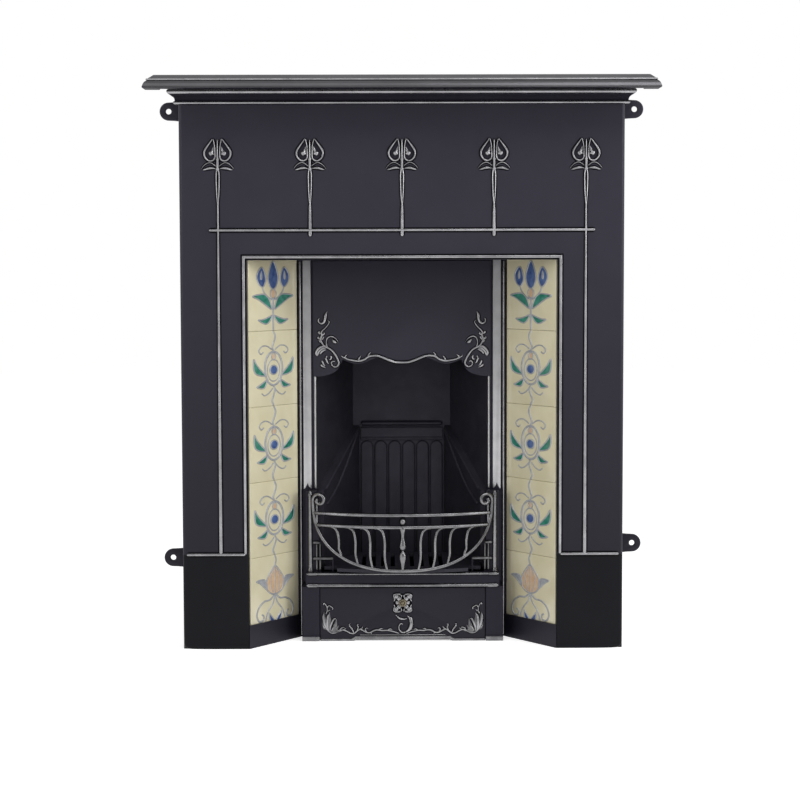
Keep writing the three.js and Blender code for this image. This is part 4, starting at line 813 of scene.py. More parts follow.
def tile_slab(put):
    """A square tile with a rounded front edge."""
    levels = [(0.0, -TILE_THICK), (0.0, -TILE_EDGE)]
    for i in range(1, 6):
        ang = math.pi / 2 * i / 5
        levels.append((TILE_EDGE * (1 - math.cos(ang)), -TILE_EDGE + TILE_EDGE * math.sin(ang)))
    verts = []
    for lo, out in levels:
        hi = TILE - lo
        corners = [(lo, lo), (hi, lo), (hi, hi), (lo, hi), (lo, lo)]
        for a, b in zip(corners, corners[1:]):
            for k in range(TILE_STEPS):
                t = k / TILE_STEPS
                verts.append(put(a[0] + (b[0] - a[0]) * t, a[1] + (b[1] - a[1]) * t, out))
    around = 4 * TILE_STEPS
    return verts, skin(around, len(levels)) + caps(around, len(levels))


MID = TILE / 2


LINE_FULL = 1.35


def line(piece, put, points, width=2.6, proud=1.1, closed=False):
    path = smooth(points, 2.0, closed)
    piece.add(relief(path, put, width * LINE_FULL, proud * LINE_FULL, closed=closed, sides=6,
        sink=0.3), "lilac_line")


def colour_pool(piece, put, points, mat, height=0.7, step=3.0):
    path = smooth(points, step, True)
    piece.add(pad(path, put, height, rings=3, sink=0.3, flat=0.55), mat)


def outlined(piece, put, points, mat, width=2.2, height=0.7):
    colour_pool(piece, put, points, mat, height)
    line(piece, put, points, width, 1.2, closed=True)


def leaf_shape(root, tip, swell, bend=0.0):
    """Closed outline of a leaf from root to tip, swell wide each side of its bent rib."""
    a, b = Vector(root), Vector(tip)
    along = b - a
    nor = Vector((-along.y, along.x)).normalized()
    rib = [a + along * t + nor * bend * math.sin(math.pi * t) for t in (0, 0.25, 0.5, 0.75, 1)]
    wide = (0, 0.8, 1.0, 0.62, 0)
    left = [rib[i] + nor * swell * wide[i] for i in range(5)]
    right = [rib[i] - nor * swell * wide[i] for i in (3, 2, 1)]
    return [tuple(p) for p in left + right]


def top_motif(piece, put):
    """A spray of three bells over two spreading leaves."""
    line(piece, put, [(0, 0), (0, 22), (0, 46), (0, 66)], 3.0)
    outlined(piece, put, [(0, 140), (-9, 124), (-13, 106), (-8, 90), (0, 84), (8, 90),
                          (13, 106), (9, 124)], "blue_glaze")
    outlined(piece, put, [(0, 84), (-7, 78), (-6, 69), (0, 65), (6, 69), (7, 78)], "peach_glaze")
    for s in (1, -1):
        line(piece, put, sided([(-2, 62), (-14, 68), (-24, 78), (-28, 88)], s), 2.4)
        outlined(piece, put, sided([(-28, 88), (-37, 95), (-42, 108), (-38, 120), (-29, 128),
                                   (-22, 118), (-19, 104), (-22, 94)], s), "blue_glaze")
        colour_pool(piece, put, sided([(-29, 122), (-34, 112), (-32, 102), (-27, 106)], s),
                    "lilac_line", 1.2)
        outlined(piece, put, sided(leaf_shape((-4, 44), (-52, 70), 8.5, -9), s), "teal_glaze")
        outlined(piece, put, sided(leaf_shape((-3, 30), (-38, 22), 5.5, 7), s), "teal_glaze")


def middle_motif(piece, put):
    """A berry in an upright ring, with paired leaves and curling tendrils."""
    line(piece, put, [(0, 152), (4, 140), (0, 127), (-3, 119), (0, 111)], 2.8)
    line(piece, put, [(0, 41), (3, 32), (0, 22), (-4, 10), (0, 0)], 2.8)
    ring = [(21 * math.cos(a), 76 + 34 * math.sin(a)) for a in [math.pi / 6 * k for k in range(12)]]
    line(piece, put, ring, 3.2, 1.3, closed=True)
    inner = [(15 * math.cos(a), 72 + 22 * math.sin(a)) for a in [math.pi / 6 * k for k in range(12)]]
    line(piece, put, inner, 1.8, 0.9, closed=True)
    outlined(piece, put, disc(0, 73, 9.0, 12), "blue_glaze", 2.4, 1.6)
    outlined(piece, put, [(0, 108), (-5, 101), (-3, 95), (0, 93), (3, 95), (5, 101)], "peach_glaze",
        1.8)
    for s in (1, -1):
        outlined(piece, put, sided(leaf_shape((-20, 62), (-47, 96), 6.5, 8), s), "teal_glaze")
        outlined(piece, put, sided(leaf_shape((-17, 52), (-40, 40), 5.0, 5), s), "teal_glaze")
        line(piece, put, sided([(-3, 114), (-16, 122), (-28, 121), (-35, 113), (-30, 106),
                               (-24, 110)], s), 2.0)
        line(piece, put, sided([(-2, 36), (-12, 26), (-22, 22), (-29, 27)], s), 2.0)


def foot_motif(piece, put):
    """A striped seed pod on spreading roots."""
    line(piece, put, [(0, 152), (3, 142), (0, 130)], 2.8)
    outlined(piece, put, [(0, 130), (-11, 120), (-22, 104), (-24, 88), (-14, 76), (0, 72),
                          (14, 76), (24, 88), (22, 104), (11, 120)], "peach_glaze", 2.6, 0.9)
    line(piece, put, [(0, 128), (0, 100), (0, 73)], 2.0)
    for s in (1, -1):
        line(piece, put, sided([(-4, 124), (-12, 106), (-11, 88), (-6, 76)], s), 1.8)
        outlined(piece, put, sided(leaf_shape((-22, 84), (-50, 104), 6.0, -7), s), "lilac_line")
        line(piece, put, sided([(-2, 71), (-14, 62), (-30, 60), (-44, 50), (-50, 34), (-44, 22),
                               (-34, 22), (-31, 30), (-37, 35)], s), 2.8)
        line(piece, put, sided([(0, 70), (-6, 54), (-18, 40), (-26, 22), (-24, 8)], s), 2.4)
        outlined(piece, put, sided(leaf_shape((-1, 14), (-16, 34), 4.0, 3), s), "blue_glaze", 1.8)


MOTIFS = {1: (top_motif, 1.2), 2: (middle_motif, 1.3), 3: (middle_motif, 1.3), 4: (middle_motif, 1.3),
    5: (foot_motif, 1.15)}


def spread(put, factor):
    """Places (u across from the tile's middle, v up, out), drawn wider by the factor."""
    return lambda u, v, out: put(MID + u * factor, v, out)


for side, word in ((-1, "left"), (1, "right")):
    for index in range(1, 6):
        put = on_tile(side, index)
        piece = Piece(f"{word}_tile_{index}_glazed")
        piece.add(tile_slab(put), "cream_glaze")
        motif, widening = MOTIFS[index]
        motif(piece, spread(put, widening))
        piece.done(f"{word}_tile_{index}", slot="tile_glaze")

# ---- insert trim

trim = Piece("insert_trim")
FRONT = on_face(INSERT_FACE)
strip = [(STRIP_X[0] - 0.3, 781), (STRIP_X[0] - 0.3, 308), (191.5, 311), (194.0, 316), (195.5, 321),
    (197.0, 316), (199.5, 311), (STRIP_X[1] + 0.3, 308), (STRIP_X[1] + 0.3, 781)]
trim.add(both(plate([strip], INSERT_FACE - 5.5, INSERT_FACE + 0.2, 0.9, 3)), "strip_polished")
trim.add(both(relief([(209.5, 2), (209.5, 780.5)], FRONT, 6.6, 5.6, sides=10)), "burnished")
trim.add(both(relief([(179.5, 309), (179.5, 545)], FRONT, 5.8, 3.4, sides=10)), "strip_polished")
column = [(0, 142), (5.6, 142), (5.6, 146), (4.8, 148), (4.7, 150), (4.7, 296), (5.4, 298),
    (5.6, 300), (5.2, 302), (4.6, 303.5), (3.6, 306.6), (1.8, 309.4), (0, 310.2)]
trim.add(both(turned(column, lambda a, b, t: at(189.5 + a, PILASTER_FACE + b, t), 24)), "bar_iron")
RAIL = on_face(POST_FACE)
trim.add(relief([(-198, 139.4), (198, 139.4)], RAIL, 5.8, 3.6, sides=10), "bar_iron")
trim.add(relief([(-198, 115.6), (198, 115.6)], RAIL, 7.6, 4.1, sides=10), "bar_iron")
trim.add(both(relief([(172, 115.6), (197, 115.6)], RAIL, 9.4, 4.9, sides=10)), "bar_iron")
trim.add(both(relief([(174, 139.4), (196, 139.4)], RAIL, 7.2, 4.4, sides=10)), "bar_iron")
trim.add(both(box(170.6, 206.4, POST_FACE - 2.0, POST_FACE + 0.5, 0.4, 9.4, 0.6)), "bar_iron")
FRET = on_face(PILASTER_FACE - 3.7)
FRET_BARS = [
    ([(142.5, 169), (184, 169)], 6.0), ([(169, 202), (184, 202)], 5.4),
    ([(169.3, 172), (169.3, 200)], 3.8), ([(176.4, 172), (176.4, 200)], 3.8),
    ([(169.3, 145), (169.3, 167)], 4.4), ([(176.4, 145), (176.4, 167)], 4.4),
]
for s in (-1, 1):
    for path, wide in FRET_BARS:
        emboss(trim, sided(path, s), FRET, wide, 2.2, mat="dull_bar", full=1.0, halo=2.0)
trim.done(slot="black_iron")

# ---- hood


def wave(x):
    return 577.8 - 6.2 * math.cos(2 * math.pi * x / 92)


HOOD_WAVE_HALF = HOOD_HALF - 61
hood = Piece("hood_canopy")
lower = [(HOOD_WAVE_HALF * (1 - i / 60), 0) for i in range(121)]
lower = [(x, wave(x) - 4.2) for x, _ in lower]
corner = smooth([(HOOD_HALF - 14, HOOD_FOOT), (HOOD_HALF - 30, HOOD_FOOT + 3),
    (HOOD_HALF - 44, HOOD_FOOT + 9), (HOOD_HALF - 53, 559.5),
    (HOOD_WAVE_HALF, wave(HOOD_WAVE_HALF) - 4.2)], 2.0)
corner = [(p.x, p.y) for p in corner[:-1]]
edge = [(HOOD_HALF, HOOD_TOP), (HOOD_HALF, HOOD_FOOT), *corner, *lower,
    *[(-x, z) for x, z in corner[::-1]], (-HOOD_HALF, HOOD_FOOT), (-HOOD_HALF, HOOD_TOP)]
hood.add(plate([edge[::-1]], HOOD_FACE, HOOD_BACK, 1.0, 3), "black_iron")
HOOD = on_face(HOOD_FACE)
trail = smooth([(-126.0, wave(126) + 2.5), (-114.2, 578.2), (-102.6, 575.4), (-88.6, 573.8),
    (-77.0, 577.0), (-67.8, 583.0), (-53.8, 584.8), (-42.2, 581.8), (-28.2, 576.0), (-14.0, 571.4),
    (0, 570.6), (3.0, 570.6)], 2.0)
HOOD_LINES = [
    (1.2, [(0, 4.4), (0.5, 3.6), (1, 1.2)], [(0, 3.4), (1, 1.6)], [
        [(-114.2, 577.0), (-117.0, 582.5), (-111.8, 587.6)],
        [(-90.0, 574.4), (-88.0, 579.5), (-83.4, 585.2)],
        [(-70.0, 581.6), (-68.4, 587.0), (-63.6, 592.4)],
    ]),
    (1.4, [(0, 1.6), (0.25, 6.4), (0.5, 5.6), (0.75, 3.4), (1, 2.6)],
     [(0, 1.4), (0.3, 3.8), (1, 2.4)], [
        [(-153.6, 676.3), (-156.9, 668.9), (-157.8, 660.7), (-160.1, 654.0), (-165.7, 650.8),
         (-170.8, 654.0), (-171.8, 658.7), (-169.0, 662.4)],
    ]),
    (1.6, [(0, 1.8), (0.15, 2.8), (0.3, 4.6), (0.5, 4.2), (0.75, 4.6), (0.9, 3.2), (1, 3.6)],
     [(0, 2.0), (0.3, 3.4), (1, 3.0)], [
        [(-153.6, 658.2), (-149.5, 654.0), (-152.3, 648.0), (-158.3, 641.0), (-163.4, 636.4),
         (-165.7, 631.7), (-164.8, 625.9), (-167.6, 618.9), (-165.7, 613.1), (-162.0, 607.1),
         (-156.9, 602.9), (-150.9, 600.1), (-143.4, 594.6), (-136.9, 585.7), (-132.3, 577.2),
         (-130.0, 569.0), (-132.8, 563.5), (-138.3, 561.6), (-143.9, 564.8), (-145.3, 570.4),
         (-141.6, 573.7), (-137.9, 571.8)],
    ]),
    (1.0, [(0, 5.2), (0.6, 3.4), (1, 0.8)], [(0, 3.2), (1, 1.2)], [
        [(-166.7, 629.9), (-171.3, 632.6), (-167.6, 635.4)],
        [(-164.8, 627.1), (-160.1, 629.9), (-161.1, 634.0)],
        [(-167.6, 619.6), (-172.7, 621.0), (-170.4, 624.8)],
        [(-165.7, 617.3), (-161.5, 622.0), (-160.6, 625.2)],
        [(-165.3, 612.0), (-169.0, 614.5), (-171.3, 618.3)],
    ]),
    (1.2, [(0, 2.2), (0.4, 5.4), (0.8, 4.6), (1, 1.2)], [(0, 2.0), (0.5, 3.4), (1, 1.6)], [
        [(-156.0, 602.5), (-164.8, 603.4), (-172.2, 598.7), (-176.9, 590.9), (-175.0, 583.0)],
        [(-156.0, 599.7), (-162.9, 599.7), (-169.0, 595.5), (-173.2, 589.0), (-173.6, 583.0)],
        [(-155.5, 596.9), (-161.1, 596.0), (-165.7, 592.2), (-169.4, 587.1)],
    ]),
    (1.4, [(0, 2.6), (0.6, 3.2), (1, 1.4)], [(0, 2.6), (1, 2.0)], [
        [(-151.8, 598.7), (-155.0, 606.2), (-155.5, 614.5), (-152.7, 621.5), (-146.2, 624.3),
         (-139.3, 622.0), (-133.7, 616.9), (-130.9, 611.7)],
    ]),
    (1.2, [(0, 4.6), (0.5, 4.0), (1, 1.2)], [(0, 3.2), (1, 1.4)], [
        [(-147.1, 585.3), (-145.3, 581.1), (-147.6, 576.9), (-151.3, 577.4)],
        [(-158.3, 580.6), (-156.0, 576.5), (-153.2, 570.4), (-149.9, 568.1)],
        [(-164.8, 575.5), (-162.9, 570.0), (-159.7, 564.8), (-156.4, 563.5)],
        [(-167.6, 567.2), (-164.8, 563.5), (-159.7, 561.1), (-156.0, 559.7)],
        [(-153.6, 584.3), (-155.5, 582.0), (-156.0, 578.3)],
    ]),
]
HOOD_BUD = [(-144.8, 619.2), (-140.6, 618.7), (-135.1, 614.5), (-133.2, 609.9), (-137.9, 609.0),
    (-143.0, 611.7)]
for s in (1, -1):
    emboss(hood, sided(trail, s), HOOD, [(0, 3.2), (0.3, 5.2), (1, 6.2)],
        [(0, 2.6), (0.3, 4.0), (1, 4.8)], sides=10, full=1.12, halo=1.4)
    strokes(hood, HOOD, s, HOOD_LINES, full=1.12, halo=2.4)
    hood.add(pad(smooth(sided(HOOD_BUD, s), 1.2, True), HOOD, 5.0), "burnished")
hood.done("hood", slot="black_iron")

# ---- fire chamber

chamber = Piece("fluted_fireback")
chamber.add(box(-FIREBACK_HALF - 20, FIREBACK_HALF + 20, FIREBACK_FACE, FIREBACK_BACK, 0, CHAMBER_TOP,
    0.6), "sooty_iron")
for i in range(6):
    x = (i - 2.5) * 30
    x0, x1 = max(x - 13.4, -88), min(x + 13.4, 88)
    mid, half = (x0 + x1) / 2, (x1 - x0) / 2
    turns = [math.pi * k / 12 for k in range(13)]
    arch = [(mid + half * math.cos(a), 380 + half * math.sin(a)) for a in turns]
    chamber.add(plate([[(x0, 146), (x1, 146), *arch]], FIREBACK_FACE - 5.2, FIREBACK_FACE + 1, 3.0,
        4), "sooty_iron")
chamber.add(box(-88, 88, FIREBACK_FACE - 6.2, FIREBACK_FACE + 1, 395, 422, 1.4), "sooty_iron")
chamber.add(relief([(-88, 430.6), (88, 430.6)], on_face(FIREBACK_FACE), 11.0, 8.0, sides=10),
    "sooty_iron")
chamber.add(relief([(-86, 400.0), (86, 400.0)], on_face(FIREBACK_FACE - 6.2), 3.0, 1.6), "sooty_iron")
chamber.add(box(-88, 88, FIREBACK_FACE - 15, FIREBACK_FACE + 1, 131, 145, 1.2), "sooty_iron")
chamber.done("fireback", slot="sooty_iron")

CHEEK_FRONT = (162.8, 144.2)  # inner face of the lining at its front edge, x and depth
CHEEK_SLOPE = 0.4615
CHEEK_HYP = math.hypot(1, CHEEK_SLOPE)


def on_cheek(side):
    """Places (run back from the front edge, height, out) on the lining of a fire cheek."""
    return lambda run, v, out: at(
        side * (CHEEK_FRONT[0] - run * CHEEK_SLOPE - out / CHEEK_HYP),
        CHEEK_FRONT[1] + run - out * CHEEK_SLOPE / CHEEK_HYP,
        v,
    )


ribs = Piece("cheek_ribs")
for s in (-1, 1):
    low = smooth([(150, 414), (132, 392), (104, 356), (70, 318), (40, 292), (12, 274)], 4.0)
    high = smooth([(150, 419), (110, 387), (60, 347), (8, 306)], 6.0)
    ribs.add(relief(low, on_cheek(s), 6.0, 3.6), "sooty_iron")
    ribs.add(relief(high, on_cheek(s), 5.0, 3.0), "sooty_iron")
ribs.done(slot="sooty_iron")

# ---- basket

BOW_R = (BASKET_HALF**2 + BASKET_BOW**2) / (2 * BASKET_BOW)


def bow(x):
    return BASKET_END - BASKET_BOW + BOW_R - math.sqrt(BOW_R**2 - x * x)


def rim_z(x):
    share = 1 - (min(abs(x), BASKET_HALF) / BASKET_HALF) ** BOAT_ROUND
    return SCROLL_Z - (SCROLL_Z - BASKET_FOOT) * share ** (1 / BOAT_ROUND)


def rim_x(z):
    share = 1 - ((SCROLL_Z - z) / (SCROLL_Z - BASKET_FOOT)) ** BOAT_ROUND
    return BASKET_HALF * share ** (1 / BOAT_ROUND)


def bar(points, radius, sides=12, step=3.0):
    path = smooth([(x, bow(x), z) for x, z in points], step)
    return tube(path, radius, sides)


basket = Piece("basket_bars", "basket")
scroll_x = BASKET_HALF - SCROLL_R
half_rim = []
for i in range(15):
    turn = math.radians(-185 + 365 * i / 14)
    r = SCROLL_R * (0.5 + 0.5 * i / 14) if i < 7 else SCROLL_R * (0.75 + 0.25 * (i - 7) / 7)
    half_rim.append((-scroll_x + r * math.cos(turn), SCROLL_Z + r * math.sin(turn)))
for i in range(1, 26):
    a = math.pi * i / 52
    x = -BASKET_HALF * math.cos(a) ** (2 / BOAT_ROUND)
    half_rim.append((x, SCROLL_Z - (SCROLL_Z - BASKET_FOOT) * math.sin(a) ** (2 / BOAT_ROUND)))
whole_rim = half_rim + [(0, BASKET_FOOT)] + [(-x, z) for x, z in half_rim[::-1]]
basket.add(bar(whole_rim, 3.9, 14, 2.5), "bar_iron")
for s in (-1, 1):
    eye_of_scroll = [(s * (scroll_x - 3.0), bow(scroll_x) - 0.5, SCROLL_Z - 3.0),
        (s * (scroll_x - 1.6), bow(scroll_x), SCROLL_Z - 8.4)]
    basket.add(tube(eye_of_scroll, [(0, 4.6), (1, 3.4)]), "bar_iron")
for z in (TOP_BAR_Z, SECOND_BAR_Z):
    reach = rim_x(z)
    basket.add(bar([(reach * i / 12, z) for i in range(-12, 13)], 4.0, 14, 8.0), "bar_iron")
for x in (36.5, 66, 96, 130):
    foot = rim_z(x - 5)
    for s in (-1, 1):
        path = [(x + 21, 235.4), (x + 17, 237.6), (x + 10, 236.0), (x + 3.5, 228.4), (x, 211.0),
            (x, (210 + foot) / 2), (x - 2.2, foot + 12), (x - 5.4, foot)]
        basket.add(bar([(s * px, pz) for px, pz in path],
            [(0, 1.8), (0.12, 2.9), (0.5, 3.2), (1, 2.8)], 10, 2.5), "bar_iron")
baluster = [(0, 149), (2.8, 149), (3.2, 158), (4.8, 166), (7.4, 177), (7.4, 183), (5.2, 188),
    (2.2, 191), (2.0, 193), (4.8, 195), (6.8, 198), (7.0, 203), (5.6, 209), (3.8, 216), (3.2, 222),
    (4.0, 228), (5.8, 233), (6.2, 237), (5.0, 240), (0, 241)]
basket.add(turned(baluster, lambda a, b, t: at(a, bow(0) + b * 0.8, t), 24), "bar_iron")
boss = [(0, -8.8), (2.4, -8.4), (4.4, -7.2), (6.2, -5.0), (7.4, -2.0), (7.8, 1.0), (7.2, 3.6),
    (5.4, 5.6), (0, 6.4)]
basket.add(turned(boss, lambda a, b, t: at(a, bow(0) + t, 252.2 + b), 28), "bar_iron")
for s in (-1, 1):
    up_x = 175.3
    up_d = bow(up_x) + 2
    basket.add(tube([(s * up_x, up_d, rim_z(up_x)), (s * up_x, up_d, 286)], 2.6), "bar_iron")
    basket.add(tube([(s * up_x, up_d, 284), (s * up_x, up_d, 297)], [(0, 2.4), (0.5, 4.8), (1, 2.0)]),
        "bar_iron")
    basket.add(tube([(s * up_x, up_d, 255), (s * up_x, BASKET_END + 12, 255)], 3.0), "bar_iron")
basket.done("basket_front", slot="bar_iron")

# ---- ash pit cover

cover = Piece("ash_cover_plate", "cover")
arch = [(-COVER_HALF, 0), (-102, 0), (-99, 0.8), (-97, 2.2), (-93, 2.5), (93, 2.5), (97, 2.2),
    (99, 0.8), (102, 0), (COVER_HALF, 0), (COVER_HALF, COVER_TOP), (-COVER_HALF, COVER_TOP)]
hole = disc(0, KNOB_Z, 3.4, 20)
cover.add(plate([arch, hole], COVER_FACE, COVER_BACK, 1.0, 3), "black_iron")
COVER = on_face(COVER_FACE)
half_foot = [(0, 3.6), (95, 3.6), (103, 0.3), (COVER_HALF - 0.6, 0.3), (COVER_HALF - 0.6, 5.0),
    (105, 5.0), (97, 10.2), (0, 10.2)]
foot_band = half_foot + [(-x, z) for x, z in half_foot[-2:0:-1]]
cover.add(plate([foot_band], COVER_FACE - 2.2, COVER_FACE + 0.5, 0.9, 3), "bar_iron")
emboss(cover, [(-88, 12.6), (88, 12.6)], COVER, 2.0, 1.4, full=1.0, halo=1.6)
COVER_LINES = [
    (1.4, [(0, 2.6), (0.3, 3.6), (0.6, 4.0), (1, 3.0)], [(0, 2.2), (0.5, 2.8), (1, 2.4)], [
        [(-152.7, 20.1), (-145.6, 16.7), (-138.7, 17.0), (-131.8, 20.8), (-123.6, 23.2),
         (-115.4, 20.8), (-107.9, 16.7), (-100.3, 16.0), (-94.2, 20.8), (-88.7, 24.2), (-81.8, 22.2),
         (-75.0, 18.4), (-67.4, 17.7), (-59.9, 21.5), (-52.4, 23.2), (-42.8, 21.8), (-33.2, 22.2),
         (-23.6, 20.5), (-14.7, 18.1), (-7.1, 15.3)],
    ]),
    (1.0, [(0, 3.6), (0.5, 3.4), (1, 1.4)], [(0, 2.8), (1, 1.6)], [
        [(-129.8, 21.5), (-127.0, 26.3), (-121.6, 28.3), (-118.8, 26.3)],
        [(-125.0, 22.9), (-119.5, 24.2), (-116.1, 27.7)],
        [(-100.3, 16.7), (-103.7, 24.2), (-107.9, 29.7), (-109.9, 35.2), (-106.5, 35.9)],
        [(-106.5, 29.7), (-111.3, 31.8)],
        [(-94.2, 21.5), (-91.4, 28.3), (-93.5, 33.8), (-89.4, 35.2)],
        [(-88.7, 24.2), (-83.9, 27.0), (-81.8, 31.1)],
        [(-73.6, 18.1), (-77.0, 22.9), (-75.0, 27.0), (-70.9, 25.6)],
        [(-68.8, 18.1), (-64.7, 16.7), (-64.0, 14.0)],
        [(-48.2, 22.9), (-45.5, 25.6), (-40.7, 25.6)],
        [(-31.1, 22.2), (-26.3, 24.9), (-21.5, 22.9)],
    ]),
]
COVER_RIBS = [  # ribs of the corner leaves, each with its width
    ([(-151.7, 19.4), (-157.2, 27.7), (-161.3, 38.6), (-163.4, 49.6), (-162.0, 59.2)], 7.0),
    ([(-151.0, 18.8), (-154.5, 29.7), (-155.1, 41.4), (-153.1, 52.3), (-149.0, 58.5)], 7.0),
    ([(-149.0, 19.4), (-149.0, 29.0), (-145.6, 38.6), (-140.8, 46.2), (-136.6, 44.8)], 6.0),
    ([(-146.9, 19.4), (-144.2, 25.6), (-139.4, 31.1), (-136.0, 35.9)], 5.0),
    ([(-157.9, 26.3), (-162.7, 29.7), (-164.1, 35.2)], 4.0),
]
COVER_LEAVES = [  # root, tip, swell, bend
    ((-150, 17), (-162, 60), 6.6, 4), ((-149, 17), (-150, 60), 6.2, 2),
    ((-148, 17), (-136, 46), 5.4, -3), ((-147, 18), (-131, 33), 4.2, -2),
    ((-153, 22), (-166, 38), 4.6, 2), ((-146, 16), (-124, 21), 4.0, 2),
]
COVER_CURLS = [
    (1.2, [(0, 3.0), (0.6, 2.6), (1, 2.8)], [(0, 2.6), (1, 1.8)], [
        [(-157.9, 56.4), (-155.1, 63.3), (-155.8, 70.8), (-159.3, 77.0), (-162.0, 78.4),
         (-162.7, 74.9)],
        [(-155.8, 68.8), (-151.7, 73.6), (-146.9, 71.5), (-143.5, 68.1), (-144.9, 65.3)],
        [(-154.5, 61.9), (-149.7, 64.7)],
    ]),
]
for s in (1, -1):
    strokes(cover, COVER, s, COVER_LINES, full=1.0, halo=2.4)
    for points, wide in COVER_RIBS:
        emboss(cover, smooth(sided(points, s), 1.2), COVER,
            [(0, 2.2), (0.4, wide), (0.75, wide * 0.75), (1, 1.0)], [(0, 2.2), (0.5, 3.8), (1, 1.6)],
            full=1.0, halo=2.4)
    for root, tip, swell, bend in COVER_LEAVES:
        leaf = smooth(sided(leaf_shape(root, tip, swell * 0.86, bend), s), 1.4, True)
        cover.add(pad(leaf, COVER, 2.7, rings=5), "dull_bar")
    strokes(cover, COVER, s, COVER_CURLS, full=1.0, halo=2.4)
    # Half of the rosette's corner scrolls.
    for flip in (1, -1):
        def R(points):
            return sided([(u, KNOB_Z + flip * v) for u, v in points], s)

        emboss(cover, smooth(R([(-3.6, 17.0), (-9.0, 18.4), (-15.5, 18.0), (-18.6, 14.6),
            (-17.0, 11.0), (-13.6, 11.6)]), 1.2), COVER, [(0, 4.6), (0.5, 4.0), (1, 2.6)], 3.2,
            full=1.0, halo=2.4)
        emboss(cover, smooth(R([(-18.6, 3.0), (-16.4, 7.6), (-18.2, 11.8)]), 1.2), COVER, 3.4, 2.8,
            full=1.0, halo=2.4)
        petal = smooth(R([(-2.0, 7.8), (-5.4, 12.8), (-10.6, 13.4), (-12.6, 8.4), (-8.0, 3.2)]), 1.4,
            True)
        cover.add(pad(petal, COVER, 2.6), "burnished")
    cover.add(pad(smooth(R([(-7.4, 2.6), (-13.6, 3.6), (-14.4, -3.6), (-7.4, -2.6)]), 1.4, True),
        COVER, 2.4), "burnished")
boss = [(19.0 * math.copysign(abs(math.cos(a)) ** 0.45, math.cos(a)),
    KNOB_Z + 19.0 * math.copysign(abs(math.sin(a)) ** 0.45, math.sin(a)))
    for a in [math.pi * k / 24 for k in range(48)]]
# Painted shade: the rosette's square ground is near-black, as the shade among its lobes.
cover.add(pad(boss, COVER, 1.2, rings=3, flat=0.9), "painted_shade_black")
for sx in (-1, 1):
    for sz in (-1, 1):
        cover.add(pad(disc(13.0 * sx, KNOB_Z + 13.0 * sz, 5.4), COVER, 4.6), "burnished")
        emboss(cover, smooth([(6.0 * sx, KNOB_Z + 17.6 * sz), (2.0 * sx, KNOB_Z + 15.0 * sz),
            (5.6 * sx, KNOB_Z + 9.0 * sz)], 1.2), COVER, [(0, 3.0), (0.5, 3.8), (1, 2.0)], 4.2,
            full=1.0, halo=0.6)
CURLING_LEAF = [  # under the rosette: points, widths, heights
    ([(9, 53), (16, 45.5), (17.5, 34), (13.5, 24), (5, 18)],
     [(0, 2.0), (0.3, 8.4), (0.6, 9.0), (1, 4.0)], [(0, 2.0), (0.5, 5.0), (1, 3.2)]),
    ([(6, 18), (-2, 18.2), (-7.2, 24), (-7.6, 31), (-3.6, 36.4), (0.6, 34)],
     [(0, 4.0), (0.6, 3.6), (1, 3.0)], 3.4),
    ([(-14.8, 55.2), (-8, 48), (0, 45.4), (9, 46.5)],
     [(0, 1.6), (0.5, 5.0), (1, 3.4)], [(0, 1.8), (0.5, 3.8), (1, 3.0)]),
    ([(11, 49), (17, 48), (21.5, 44)], [(0, 4.0), (1, 1.2)], [(0, 4.0), (1, 1.4)]),
    ([(14, 39), (19, 38), (22.6, 33)], [(0, 4.0), (1, 1.2)], [(0, 4.0), (1, 1.4)]),
    ([(13, 28), (17, 26.5), (20, 21.5)], [(0, 4.0), (1, 1.2)], [(0, 4.0), (1, 1.4)]),
]
for points, wide, proud in CURLING_LEAF:
    emboss(cover, smooth(points, 1.0), COVER, wide, proud, full=1.0, halo=1.6)
cover.done("ash_pan_cover", slot="black_iron")

knob = Piece("rosette_knob", "cover")
dish = [(0, -5.4), (2.0, -5.2), (3.2, -4.4), (3.8, -3.0), (4.4, -2.4), (6.2, -3.4), (7.6, -2.8),
    (8.0, -1.4), (7.4, 0.0), (0, 0.0)]
knob.add(turned(dish, lambda a, b, t: at(a, COVER_FACE + t, KNOB_Z + b), 30), "rubbed_bronze")
shank = [(0, 0), (2.6, 0), (2.6, 11.8), (0, 11.8)]
knob.add(turned(shank, lambda a, b, t: at(a, COVER_FACE - 0.2 + t, KNOB_Z + b), 16), "dark_steel")
for k in range(8):
    a = 2 * math.pi * k / 8
    lobe = [(5.9 * math.cos(a) + 2.0 * math.cos(b),
        KNOB_Z + 5.9 * math.sin(a) + 2.0 * math.sin(b))
        for b in [2 * math.pi * j / 10 for j in range(10)]]
    knob.add(pad(lobe, on_face(COVER_FACE - 3.0), 1.5, rings=3), "rubbed_bronze")
knob.done("cover_knob", slot="knob_bronze")

# ---- carried-over castings

SOFT_EDGE = 0.0007  # metres
SOFT_FROM = math.radians(40)
FINISH = {
    "black_flat": ["left_tile_frame", "right_tile_frame", "soffit_plate", "insert_front"],
    "sooty_iron": ["bottom_grate", "left_fire_cheek", "right_fire_cheek", "throat_plate",
        "damper_flap", "damper_lever"],
    "dark_steel": ["ash_pan", "ash_pan_handle", "knob_nut"],
}
FINISH["dark_steel"] += [name for name in NODES if "screw" in name]
for mat, names in FINISH.items():
    for name in names:
        obj = NODES[name]
        obj.data.materials.clear()
        obj.data.materials.append(MATERIALS[mat])
        if "screw" not in name:
            soft = obj.modifiers.new("soft edges", "BEVEL")
            soft.width = SOFT_EDGE
            soft.segments = 2
            soft.limit_method = "ANGLE"
            soft.angle_limit = SOFT_FROM

# ---- studio

FLOOR_REACH = 9
FLOOR_GLOW = 0.62
FLOOR_SHADE = 0.86
ROOM_LIGHT = 0.5  # what dull surfaces get from the room
ROOM_SEEN = (0.42, 1.0)  # what shiny surfaces see of it, before and behind the object

